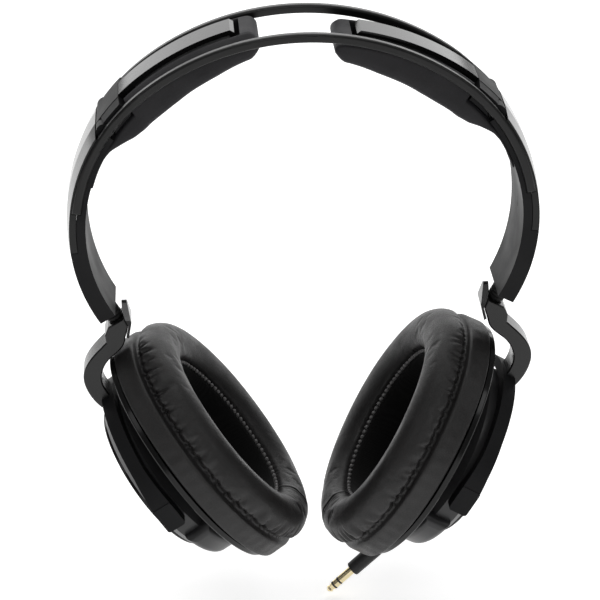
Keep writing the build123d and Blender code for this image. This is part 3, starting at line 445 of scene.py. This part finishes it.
LOOKS = {
    "front_bow": BOW, "rear_bow": BOW, "arm_shell": SATIN, "arm_cover": GLOSS, "arm_screws": SCREW_STEEL,
    "root_pad": PAD, "wing_pin": PIN_STEEL, "wing_carrier": SATIN, "wing_plate": GLOSS, "wing_pad": PAD,
    "wing_spring": PIN_STEEL, "swivel_pin": NECK, "hanger": HANGER, "hanger_cover": GLOSS, "fork": SATIN,
    "pivot_pins": PIN_STEEL, "housing": HOUSING, "back_frame": SATIN, "flange": GLOSS, "outer_cap": GLOSS,
    "housing_screws": SCREW_STEEL, "driver_frame": SATIN, "driver_magnet": MAGNET, "diaphragm": FILM,
    "driver_grille": GRILLE, "damping_felt": FELT, "pad_lining": LINING, "ear_pad": LEATHER,
    "plug_boot": BOOT, "plug_sleeve": GOLD, "plug_ring": GOLD, "plug_tip": GOLD,
    "plug_insulator_back": INSULATOR, "plug_insulator_front": INSULATOR,
}
EDGE_ROUND = {          # width of the rounded edges, in mm
    "arm_shell": 0.35, "arm_cover": 0.35, "wing_carrier": 0.3, "wing_plate": 0.35, "hanger_cover": 0.2,
    "fork": 0.3, "flange": 0.25, "outer_cap": 0.4, "housing": 0.25, "plug_boot": 0.3, "plug_sleeve": 0.12,
    "plug_ring": 0.1, "plug_tip": 0.12, "swivel_pin": 0.2,
}


def dress(obj, material):
    obj.data.materials.clear()
    obj.data.materials.append(material)


for name, node in NODES.items():
    kind = name.removeprefix("left_").removeprefix("right_")
    dress(node, LOOKS[kind])
    if kind in EDGE_ROUND:
        soften_edges(node, EDGE_ROUND[kind])


# ------------------------------------------------------------------ ear pads

AROUND = 432            # points round the oval
PUFF_ROWS = 34          # rows of points across the stuffed part
PUFF_START = -12        # degrees round the stuffed tube, at the outer seam
PUFF_TURN = 167         # degrees from the outer seam to the inner one
TUBE = (-11.0, 12.2)    # middle of the stuffed tube: growth of the pad's oval, height over the flange
TUBE_R = 10.2
TUBE_CORE = 5           # points nearer the tube's middle than this aren't drawn in
SWELL_CAP = 2.2 * MM    # how far the cloth may move
SETTLE_FRAMES = 20
GATHERS = ((True, 84), (False, 70))     # at the outer seam or not, and how many
# strong gathers: angle from straight down (counter-clockwise seen from the head), spread and weight
STRONG = {
    "left": ((-0.55, 0.55, 1.0), (-1.5, 0.6, 0.55), (-2.5, 0.5, 1.1), (0.6, 0.5, 0.4)),
    "right": ((0.5, 0.6, 1.0), (1.5, 0.7, 0.4), (2.5, 0.5, 0.5), (-0.6, 0.5, 0.4)),
}
PAD_SEED = {"left": 11, "right": 29}
JOIN_ANGLE = {"left": -0.10, "right": 0.16}     # where the cover's two ends meet
JOIN_REACH = 34         # about how many mm along the cover a radian is
JOIN_GROOVE = (0.55, 0.4)       # depth and half width of the join
JOIN_RIDGE = (0.22, 1.5, 0.9)   # height, distance and half width of the raised edges beside it
# rows (growth, height, ripple) of the cover outside and inside the stuffed part
SKIRT = ((-1.6, 0.32, 0), (-0.55, 0.42, 0), (-0.30, 1.1, 0), (-0.30, 2.6, 0.03), (-0.45, 4.4, 0.05),
         (-0.45, 6.2, 0.06), (-0.5, 8.0, 0.05), (-0.75, 8.9, 0.03), (-1.4, 9.3, 0), (-3.3, 9.6, 0))
BACK_WALL = ((-19.3, 16.0, 0), (-20.3, 15.2, 0), (-20.75, 13.6, 0.05), (-20.9, 10.8, 0.08),
             (-21.0, 7.6, 0.08), (-21.0, 4.6, 0.05), (-20.9, 2.2, 0), (-20.0, 0.9, 0), (-14.0, 0.5, 0),
             (-7.0, 0.4, 0))


def wrapped(angle):
    """Angles brought to between minus and plus half a turn."""
    return (angle + math.pi) % (2 * math.pi) - math.pi


def puff_profile():
    """Rows (grow, height) of the stuffed part, from the outer seam over the crown to the inner seam."""
    rows = []
    for i in range(PUFF_ROWS):
        t = i / (PUFF_ROWS - 1)
        a = math.radians(PUFF_START + PUFF_TURN * t)
        pinch = 2.4 * math.exp(-(t / 0.05) ** 2) + 1.0 * math.exp(-((1 - t) / 0.045) ** 2)
        r = TUBE_R - pinch
        rows.append((TUBE[0] + r * math.cos(a), TUBE[1] + r * math.sin(a)))
    return rows


def pleats(seed, strong):
    """Gathers from the two seams: (angle, width, reach, slant, depth, at the outer seam?)."""
    random.seed(seed)
    found = []
    for outer, count in GATHERS:
        for k in range(count):
            angle = 2 * math.pi * (k + random.uniform(-0.4, 0.4)) / count
            weight = 0.30 + sum(w * math.exp(-(math.remainder(angle - a, 2 * math.pi) / s) ** 2)
                                for a, s, w in strong)
            if outer:
                depth = random.uniform(0.75, 1.8) * weight
                reach = random.uniform(0.14, 0.32) * (0.7 + 0.5 * weight)
            else:
                depth = random.uniform(0.10, 0.28)
                reach = random.uniform(0.05, 0.11)
            found.append((angle, random.uniform(0.013, 0.025), reach, random.uniform(-0.05, 0.05),
                          depth, outer))
    return found


def pleat_depth(found, angle, t):
    """How far the cover is drawn in, in mm, at angles and shares t of the way over the puff."""
    total = np.zeros_like(t)
    for centre, width, reach, slant, depth, outer in found:
        along = np.maximum(t if outer else 1 - t, 0) / reach
        off = wrapped(angle - centre - slant * along)
        near = (along < 1) & (np.abs(off) < 4 * width)
        fade = np.cos(0.5 * math.pi * along[near]) ** 1.5
        total[near] += depth * fade * np.exp(-(off[near] / (width * (0.7 + 0.8 * along[near]))) ** 2)
    return total


def oval_place(x, y):
    """Growth and normal angle of the oval through points (x, y), the inverse of oval_point."""
    y = y + OVAL_DROP
    beside = np.arctan2(np.abs(y), np.abs(x) + OVAL_SIDE_X) <= OVAL_TURN
    cx = np.where(beside, -np.sign(x) * OVAL_SIDE_X, 0)
    cy = np.where(beside, 0, np.sign(y) * OVAL_FLAT)
    radius = np.where(beside, OVAL_SHORT + OVAL_SIDE_X, OVAL_END_R)
    return np.hypot(x - cx, y - cy) - radius, np.arctan2(y - cy, x - cx)


def gather(pad, found, join_angle):
    """Draws the settled cover in at its gathers and at the join across it."""
    mesh = pad.data
    points = np.empty(len(mesh.vertices) * 3)
    mesh.vertices.foreach_get("co", points)
    points = points.reshape(-1, 3) / MM
    grow, theta = oval_place(points[:, 0], points[:, 1])
    g, n = grow - TUBE[0], points[:, 2] - TUBE[1]
    reach = np.hypot(g, n)
    t = (np.degrees(np.arctan2(n, g)) - PUFF_START) / PUFF_TURN
    turned = theta + math.pi / 2
    drawn = pleat_depth(found, turned, t)
    seam = wrapped(turned - join_angle) * JOIN_REACH
    depth, half_width = JOIN_GROOVE
    height, beside, ridge_half = JOIN_RIDGE
    groove = depth * np.exp(-(seam / half_width) ** 2)
    ridges = height * np.exp(-((np.abs(seam) - beside) / ridge_half) ** 2)
    drawn += groove - ridges
    inside = np.clip((t + 0.03) / 0.05, 0, 1) * np.clip((1.02 - t) / 0.05, 0, 1)
    share = drawn * inside * (reach > TUBE_CORE) / reach
    points[:, 0] -= share * g * np.cos(theta)
    points[:, 1] -= share * g * np.sin(theta)
    points[:, 2] -= share * n
    mesh.vertices.foreach_set("co", (points * MM).ravel())
    mesh.update()


def stuffed(name, vertices):
    """Runs the cloth on the stuffed rows, held at both seams, and gives their settled points."""
    obj = mesh_object(name, vertices, grid_faces(PUFF_ROWS, AROUND, False))
    group = obj.vertex_groups.new(name="held")
    held = list(range(AROUND)) + list(range((PUFF_ROWS - 1) * AROUND, PUFF_ROWS * AROUND))
    group.add(held, 1.0, "REPLACE")
    cloth = obj.modifiers.new("Cloth", "CLOTH")
    s = cloth.settings
    s.quality = 7
    s.mass = 0.25
    s.tension_stiffness = s.compression_stiffness = 40
    s.shear_stiffness = 20
    s.bending_stiffness = 6.0
    s.tension_damping = s.compression_damping = 12
    s.bending_damping = 0.8
    s.air_damping = 2
    s.vertex_group_mass = "held"
    s.pin_stiffness = 1.0
    s.use_pressure = True
    s.uniform_pressure_force = 4.0
    s.shrink_min = 0.004
    s.effector_weights.gravity = 0.0
    cloth.collision_settings.use_collision = False
    cloth.point_cache.frame_start, cloth.point_cache.frame_end = 1, SETTLE_FRAMES
    scene = bpy.context.scene
    for f in range(1, SETTLE_FRAMES + 1):
        scene.frame_set(f)
    graph = bpy.context.evaluated_depsgraph_get()
    settled = obj.evaluated_get(graph).to_mesh()
    points = np.array([v.co for v in settled.vertices], float)
    before = np.array(vertices, float)
    move = points - before
    size = np.linalg.norm(move, axis=1, keepdims=True)
    points = before + move * np.minimum(1.0, SWELL_CAP / np.maximum(size, 1e-9))
    mesh = obj.data
    bpy.data.objects.remove(obj)
    bpy.data.meshes.remove(mesh)
    scene.frame_set(1)
    return points


def ear_pad(side_name):
    """Leather cover of one pad: a flat skirt, the stuffed tube and the wall round the ear's opening."""
    seed = PAD_SEED[side_name]
    thetas = oval_thetas(AROUND, TUBE[0])
    puff = []
    for grow, height in puff_profile():
        puff += oval_ring(thetas, grow, height)
    puff = [tuple(p) for p in stuffed("stuffing", puff)]
    rows = [puff[r * AROUND:(r + 1) * AROUND] for r in range(PUFF_ROWS)]

    def rippled(grow, height, wave):
        return oval_ring(thetas, grow, height,
                         lambda k: wave * (math.sin(k * 0.73 + seed) + 0.6 * math.sin(k * 0.31 + 2 * seed)))

    rings = [rippled(*row) for row in SKIRT] + rows + [rippled(*row) for row in BACK_WALL]
    vertices = [p for ring in rings for p in ring]
    pad = mesh_object(f"{side_name}_ear_pad_leather", vertices, grid_faces(len(rings), AROUND, True))
    pad.matrix_world = cup_matrix(SIDES[side_name])
    subdivide(pad)
    gather(pad, pleats(seed, STRONG[side_name]), JOIN_ANGLE[side_name])
    dress(pad, LEATHER)
    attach(pad, f"{side_name}_cup")
    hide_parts(f"{side_name}_ear_pad")


STITCHES = 84
STITCH_GROW, STITCH_HEIGHT, STITCH_SWAY = -20.05, 15.85, 0.05   # the row's place, and how straight it is
STITCH_LENGTH, STITCH_R, STITCH_TILT = 1.85, 0.72, 0.3
STITCH_SIDES = 8
# share of the length, and of the radius
STITCH_PROFILE = ((-0.5, 0.0), (-0.44, 0.55), (-0.3, 0.88), (0.0, 1.0), (0.3, 0.88), (0.44, 0.55), (0.5, 0.0))


def stitch(middle, theta):
    """Points of one stitch: a small capsule that bows up in the middle."""
    out = Vector((math.cos(theta), math.sin(theta), 0))
    along = Vector((-math.sin(theta), math.cos(theta), 0))
    lift = Vector((0, 0, 1))
    run = (along * math.cos(STITCH_TILT) + lift * math.sin(STITCH_TILT)).normalized()
    inward = (-out * 0.8 + lift * 0.6).normalized()
    third = run.cross(inward).normalized()
    points = []
    for s, w in STITCH_PROFILE:
        centre = middle + run * (s * STITCH_LENGTH) + inward * (STITCH_R * 0.5 * (1 - 4 * s * s))
        for j in range(STITCH_SIDES):
            a = 2 * math.pi * j / STITCH_SIDES
            spot = centre + (inward * math.cos(a) + third * math.sin(a)) * STITCH_R * max(w, 0.04)
            points.append(tuple(spot * MM))
    return points


def inner_stitches(side_name):
    """A row of short stitches round the ear's opening."""
    vertices, faces = [], []
    for k, theta in enumerate(oval_thetas(STITCHES, STITCH_GROW)):
        x, y = oval_point(STITCH_GROW + STITCH_SWAY * math.sin(k * 1.7), theta)
        start = len(vertices)
        vertices += stitch(Vector((x, y, STITCH_HEIGHT)), theta)
        last = len(vertices) - STITCH_SIDES
        for ring in range(start, last, STITCH_SIDES):
            for j in range(STITCH_SIDES):
                a, b = ring + j, ring + (j + 1) % STITCH_SIDES
                faces.append((a, b, b + STITCH_SIDES, a + STITCH_SIDES))
        faces.append(tuple(start + j for j in range(STITCH_SIDES - 1, -1, -1)))
        faces.append(tuple(last + j for j in range(STITCH_SIDES)))
    row = mesh_object(f"{side_name}_inner_stitches", vertices, faces)
    row.matrix_world = cup_matrix(SIDES[side_name])
    dress(row, THREAD)
    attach(row, f"{side_name}_cup")


WALL_POINTS = 220
# rows (growth, height) of the sleeve, from the lining up to the stitches
WALL_ROWS = ((-21.36, 1.2), (-21.42, 3.0), (-21.36, 5.5), (-21.42, 8.0), (-21.34, 10.5), (-21.28, 12.6),
             (-21.0, 14.2), (-20.6, 15.2))


def inner_wall(side_name):
    """Near-black fabric sleeve round the inside of the pad, from under the stitches to the lining; its
    near-black colour is painted shade that darkens the ear's opening.
    """
    thetas = oval_thetas(WALL_POINTS, -21.0)
    vertices = []
    for r, (grow, height) in enumerate(WALL_ROWS):
        vertices += oval_ring(thetas, grow, height, lambda k: 0.05 * math.sin(0.9 * k + 2.1 * r))
    faces = grid_faces(len(WALL_ROWS), WALL_POINTS, False, flip=True)
    wall = mesh_object(f"{side_name}_pad_painted_shade_sleeve", vertices, faces)
    thicken(wall, 0.2, 0)
    wall.matrix_world = cup_matrix(SIDES[side_name])
    # painted shade: the near-black sleeve covers the leather's inner wall so the opening looks dark
    dress(wall, PAINTED_SHADE_SLEEVE)
    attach(wall, f"{side_name}_cup")


LINING_RINGS, LINING_POINTS = 15, 96
LINING_GROW = -21.6     # its edge, just inside the pad's opening
LINING_EDGE, LINING_RISE, LINING_TOP = 1.62, 1.1, 2.75      # heights: the edge, the crown's rise, the middle


def pad_lining(side_name):
    """Fabric screen over the pad's opening, slightly crowned by the foam under it."""
    thetas = oval_thetas(LINING_POINTS, -21.5)
    vertices = []
    for r in range(LINING_RINGS):
        share = 1 - r / LINING_RINGS
        for theta in thetas:
            x, y = oval_point(LINING_GROW, theta)
            quilt = 0.14 * math.sin(9.5 * share + 1.3 * math.sin(5 * theta)) * (1 - share)
            n = LINING_EDGE + LINING_RISE * (1 - share ** 2.2) + quilt
            vertices.append((x * share * MM, y * share * MM, n * MM))
    faces = grid_faces(LINING_RINGS, LINING_POINTS, False)
    vertices.append((0, 0, LINING_TOP * MM))
    tip = len(vertices) - 1
    last = tip - LINING_POINTS
    faces += [(last + i, last + (i + 1) % LINING_POINTS, tip) for i in range(LINING_POINTS)]
    screen = mesh_object(f"{side_name}_pad_lining_fabric", vertices, faces)
    thicken(screen, 0.35, -1)
    screen.matrix_world = cup_matrix(SIDES[side_name])
    dress(screen, LINING)
    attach(screen, f"{side_name}_cup")
    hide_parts(f"{side_name}_pad_lining")


# ------------------------------------------------------------------ wing pads

# the pad's underside: arch angle in degrees, depth under the arch
BELLY = ((16.5, 8.6), (24.0, 8.6), (28.0, 8.75), (31.0, 9.5), (35.0, 12.0), (39.4, 14.7), (43.8, 16.0),
         (49.3, 16.1), (54.0, 16.1), (58.2, 15.9), (69.9, 14.0), (78.5, 11.9), (80.6, 9.6))
CHANNEL_FLOOR = 7.75
PAD_TOP = 1.7           # depth at the channel's edge
PAD_SHOULDER = 3.3      # depth at the outer edge
PAD_HALF = 14.5         # half width
CHANNEL_HALF = 9.0      # half width of the channel that holds the wing
STEP_ANGLE = 45.95      # where the tail steps up to the full pad, in degrees
CHANNEL_END = 76.9
TAIL_START, TAIL_ROUND = 16.5, 1.2      # degrees over which the tail's end rounds off
TIP_START, TIP_ROUND = 78.9, 2.3        # and the tip's
EDGE_R = 0.8            # the channel's rounded edges


def smooth(x):
    """Ease from 0 to 1."""
    x = min(1.0, max(0.0, x))
    return x * x * (3 - 2 * x)


def belly_depth(a):
    return float(np.interp(a, [b[0] for b in BELLY], [b[1] for b in BELLY]))


def pad_section(a, shrink):
    """Half outline (y, depth) from the middle of the belly to the middle of the channel floor."""
    rise = smooth((a - STEP_ANGLE) / 0.5)
    closed = smooth((a - CHANNEL_END) / 0.5)
    low = 7.5 if a < HINGE_ANGLE - 3.2 else 7.7
    shoulder = low + (PAD_SHOULDER - low) * rise
    ridge = low + (PAD_TOP - low) * rise
    bottom = belly_depth(a)
    floor = max(ridge, min(CHANNEL_FLOOR, bottom - 1.2)) if rise > 0 else low
    floor = floor + (ridge - 0.15 - floor) * closed
    half = PAD_HALF - 1.8 * shrink
    middle = 0.5 * (shoulder + bottom)

    def pull(d):
        return middle + (d - middle) * (1 - shrink)

    corner = min(4.2, 0.48 * (bottom - shoulder) * (1 - shrink))
    lip = min(1.3, 0.3 * (bottom - shoulder) * (1 - shrink))
    base = pull(bottom)
    top = pull(shoulder)
    pts = [(0, base), (half * 0.25, base - 0.02), (half * 0.5, base - 0.08)]
    pts.append((half - corner - 0.6, base - 0.25))
    for k in range(7):
        q = math.radians(90 - 90 * k / 6)
        pts.append((half - corner + corner * math.cos(q), base - 0.3 - corner + corner * math.sin(q)))
    side_low = base - 0.3 - corner
    for k in (1, 2, 3):
        pts.append((half, side_low + (top + lip - side_low) * k / 3))
    for k in range(1, 5):
        q = math.radians(90 * k / 4)
        pts.append((half - lip + lip * math.cos(q), top + lip - lip * math.sin(q)))
    edge = CHANNEL_HALF + EDGE_R
    crest = pull(ridge)
    pts.append((0.5 * (half - lip + edge), 0.5 * (top + crest) - 0.1))
    pts.append((edge + 0.1, crest - 0.02))
    bed = pull(floor)
    drop = min(1.0, (bed - crest) / 1.6)
    for k in range(1, 5):
        q = math.radians(90 * k / 4)
        pts.append((edge - EDGE_R * math.sin(q), crest + (EDGE_R - EDGE_R * math.cos(q)) * drop))
    wall = edge - EDGE_R
    pts.append((wall - 0.02, 0.5 * (crest + bed) + 0.2 * (bed - crest)))
    pts.append((wall - 0.1, bed - 0.25 * min(1.0, bed - crest)))
    pts.append((wall - 0.5, bed))
    pts.append((wall * 0.55, bed))
    pts.append((0, bed))
    return pts


def hung(x, z, a, side):
    """A point of the wing turned inwards about the hinge, as that wing hangs at rest."""
    turn = -side * math.radians(WING_REST[side]) * smooth((a - HINGE_ANGLE + 2.6) / 5.6)
    hx, hz = arch(HINGE_DEPTH, HINGE_ANGLE, side)
    c, s = math.cos(turn), math.sin(turn)
    return hx + (x - hx) * c + (z - hz) * s, hz - (x - hx) * s + (z - hz) * c


def pad_stations():
    """Arch angles of the pad's sections, closer at its step, its channel's end and its tip."""
    stations = list(np.arange(TAIL_START, 45.4, 0.75)) + list(np.arange(45.6, 47.2, 0.12))
    stations += list(np.arange(47.5, 76.4, 0.75)) + list(np.arange(76.6, 77.8, 0.12))
    stations += [78.2, 78.6, 79.0, 79.4, 79.8, 80.2, 80.5, 80.75, 80.95, 81.1, 81.2]
    return [float(a) for a in stations]


def wing_pad(side_name, seed):
    """One moulded pad: a thin tail on the arm, a thick body under the wing and a rounded tip."""
    side = SIDES[side_name]
    rings = []
    for a in pad_stations():
        tail = max(0.0, 1 - (a - TAIL_START) / TAIL_ROUND)
        tip = max(0.0, (a - TIP_START) / TIP_ROUND)
        shrink = min(0.92, 1 - math.sqrt(1 - max(tail, tip) ** 2.2))
        half = pad_section(a, shrink)
        ring = []
        loop = half + [(-y, d) for y, d in reversed(half[1:-1])]
        for y, d in loop:
            give = 0.10 * math.sin(a * 0.41 + seed) * math.sin(y * 0.33 + seed) * (1 if d > 9 else 0)
            x, z = hung(*arch(d + give, a, side), a, side)
            ring.append((x * MM, y * MM, z * MM))
        rings.append(ring)
    count = len(rings[0])
    vertices = [p for ring in rings for p in ring]
    faces = grid_faces(len(rings), count, False, flip=side > 0)
    for ring_at, reverse in ((0, side < 0), (len(rings) - 1, side > 0)):
        base = ring_at * count
        for k in range(count // 2):
            quad = [base + k, base + k + 1, base + (count - k - 1) % count, base + (count - k) % count]
            quad = [q for i, q in enumerate(quad) if q not in quad[:i]]
            if len(quad) >= 3:
                faces.append(tuple(reversed(quad)) if reverse else tuple(quad))
    pad = mesh_object(f"{side_name}_wing_cushion", vertices, faces)
    subdivide(pad)
    dress(pad, PAD)
    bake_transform(pad)
    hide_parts(f"{side_name}_wing_pad", f"{side_name}_root_pad")


SPRING_TURNS, SPRING_WIRE_R, SPRING_R, SPRING_LENGTH = 6.5, 0.4, 1.85, 5.1


def coil_spring(side_name):
    """Torsion spring on the hinge pin."""
    x, z = arch(HINGE_DEPTH, HINGE_ANGLE, SIDES[side_name])
    steps, sides = 24, 8    # sections in a turn, and points in a section
    total = int(SPRING_TURNS * steps)
    vertices = []
    for i in range(total + 1):
        a = 2 * math.pi * i / steps
        y = -SPRING_LENGTH / 2 + SPRING_LENGTH * i / total
        for j in range(sides):
            q = 2 * math.pi * j / sides
            r = SPRING_R + SPRING_WIRE_R * math.cos(q)
            spot = (x + r * math.cos(a), y + SPRING_WIRE_R * math.sin(q), z + r * math.sin(a))
            vertices.append(tuple(c * MM for c in spot))
    faces = grid_faces(total + 1, sides, False)
    faces.append(tuple(range(sides)))
    faces.append(tuple(total * sides + j for j in range(sides - 1, -1, -1)))
    spring = mesh_object(f"{side_name}_coil_spring", vertices, faces)
    dress(spring, PIN_STEEL)
    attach(spring, "headband")
    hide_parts(f"{side_name}_wing_spring")


ear_pad("left")
ear_pad("right")
for side_name in SIDES:
    inner_stitches(side_name)
    inner_wall(side_name)
    pad_lining(side_name)
    coil_spring(side_name)
wing_pad("left", 5)
wing_pad("right", 8)


# ------------------------------------------------------------------ stage

def softbox(name, place, aim, size, radiance):
    """Rectangular light aimed at a point; its power follows from its brightness and size."""
    light = bpy.data.lights.new(name, "AREA")
    light.shape = "RECTANGLE"
    light.size, light.size_y = size
    light.energy = radiance * math.pi * size[0] * size[1]
    obj = bpy.data.objects.new(name, light)
    bpy.context.scene.collection.objects.link(obj)
    obj.location = place
    obj.rotation_mode = "QUATERNION"
    obj.rotation_quaternion = (Vector(aim) - Vector(place)).to_track_quat("-Z", "Y")


FLOOR_HALF = 4.0
floor_z = cad_low.z - 0.0015
corners = [(x * FLOOR_HALF, y * FLOOR_HALF, floor_z) for x, y in ((-1, -1), (1, -1), (1, 1), (-1, 1))]
floor = mesh_object("studio_floor", corners, [(0, 1, 2, 3)], smooth=False)
dress(floor, floor_paper())

softbox("back_box", (0.0, 1.5, 0.75), (0, 0, 0.12), (3.2, 1.3), 1.8)
softbox("top_box", (0.0, 0.2, 1.6), (0, 0, 0), (1.8, 1.3), 1.9)
softbox("left_box", (-1.3, -0.9, 1.1), (0, 0, 0.05), (0.6, 0.8), 1.2)
softbox("right_box", (1.3, -0.9, 1.1), (0, 0, 0.05), (0.6, 0.8), 1.9)
softbox("front_box", (0.0, -1.5, 1.05), (0, 0, 0), (0.5, 0.35), 6.0)

world = bpy.data.worlds.new("studio")
bpy.context.scene.world = world
world.use_nodes = True
world.node_tree.nodes["Background"].inputs["Color"].default_value = (1, 1, 1, 1)
world.node_tree.nodes["Background"].inputs["Strength"].default_value = 0.16

scene = bpy.context.scene
scene.view_settings.view_transform = "Standard"
scene.view_settings.look = "None"

CAMERA_AIM = (-0.0022, 0, 0.0574)
CAMERA_DISTANCE = 0.949
CAMERA_LENS = 144.98    # mm, on a 36 mm wide sensor

camera_data = bpy.data.cameras.new("photo_camera")
camera = bpy.data.objects.new("photo_camera", camera_data)
scene.collection.objects.link(camera)
scene.camera = camera
azimuth, elevation, roll = math.radians(-2.55), math.radians(25.66), math.radians(-1.85)
back = Vector((math.sin(azimuth) * math.cos(elevation), -math.cos(azimuth) * math.cos(elevation),
               math.sin(elevation)))
right = (-back).cross(Vector((0, 0, 1))).normalized()
up = right.cross(-back)
rolled_right = right * math.cos(roll) + up * math.sin(roll)
rolled_up = up * math.cos(roll) - right * math.sin(roll)
camera.matrix_world = matrix_of((rolled_right, rolled_up, back), Vector(CAMERA_AIM) + back * CAMERA_DISTANCE)
camera_data.sensor_width = 36.0
camera_data.lens = CAMERA_LENS
camera_data.clip_start, camera_data.clip_end = 0.05, 20.0
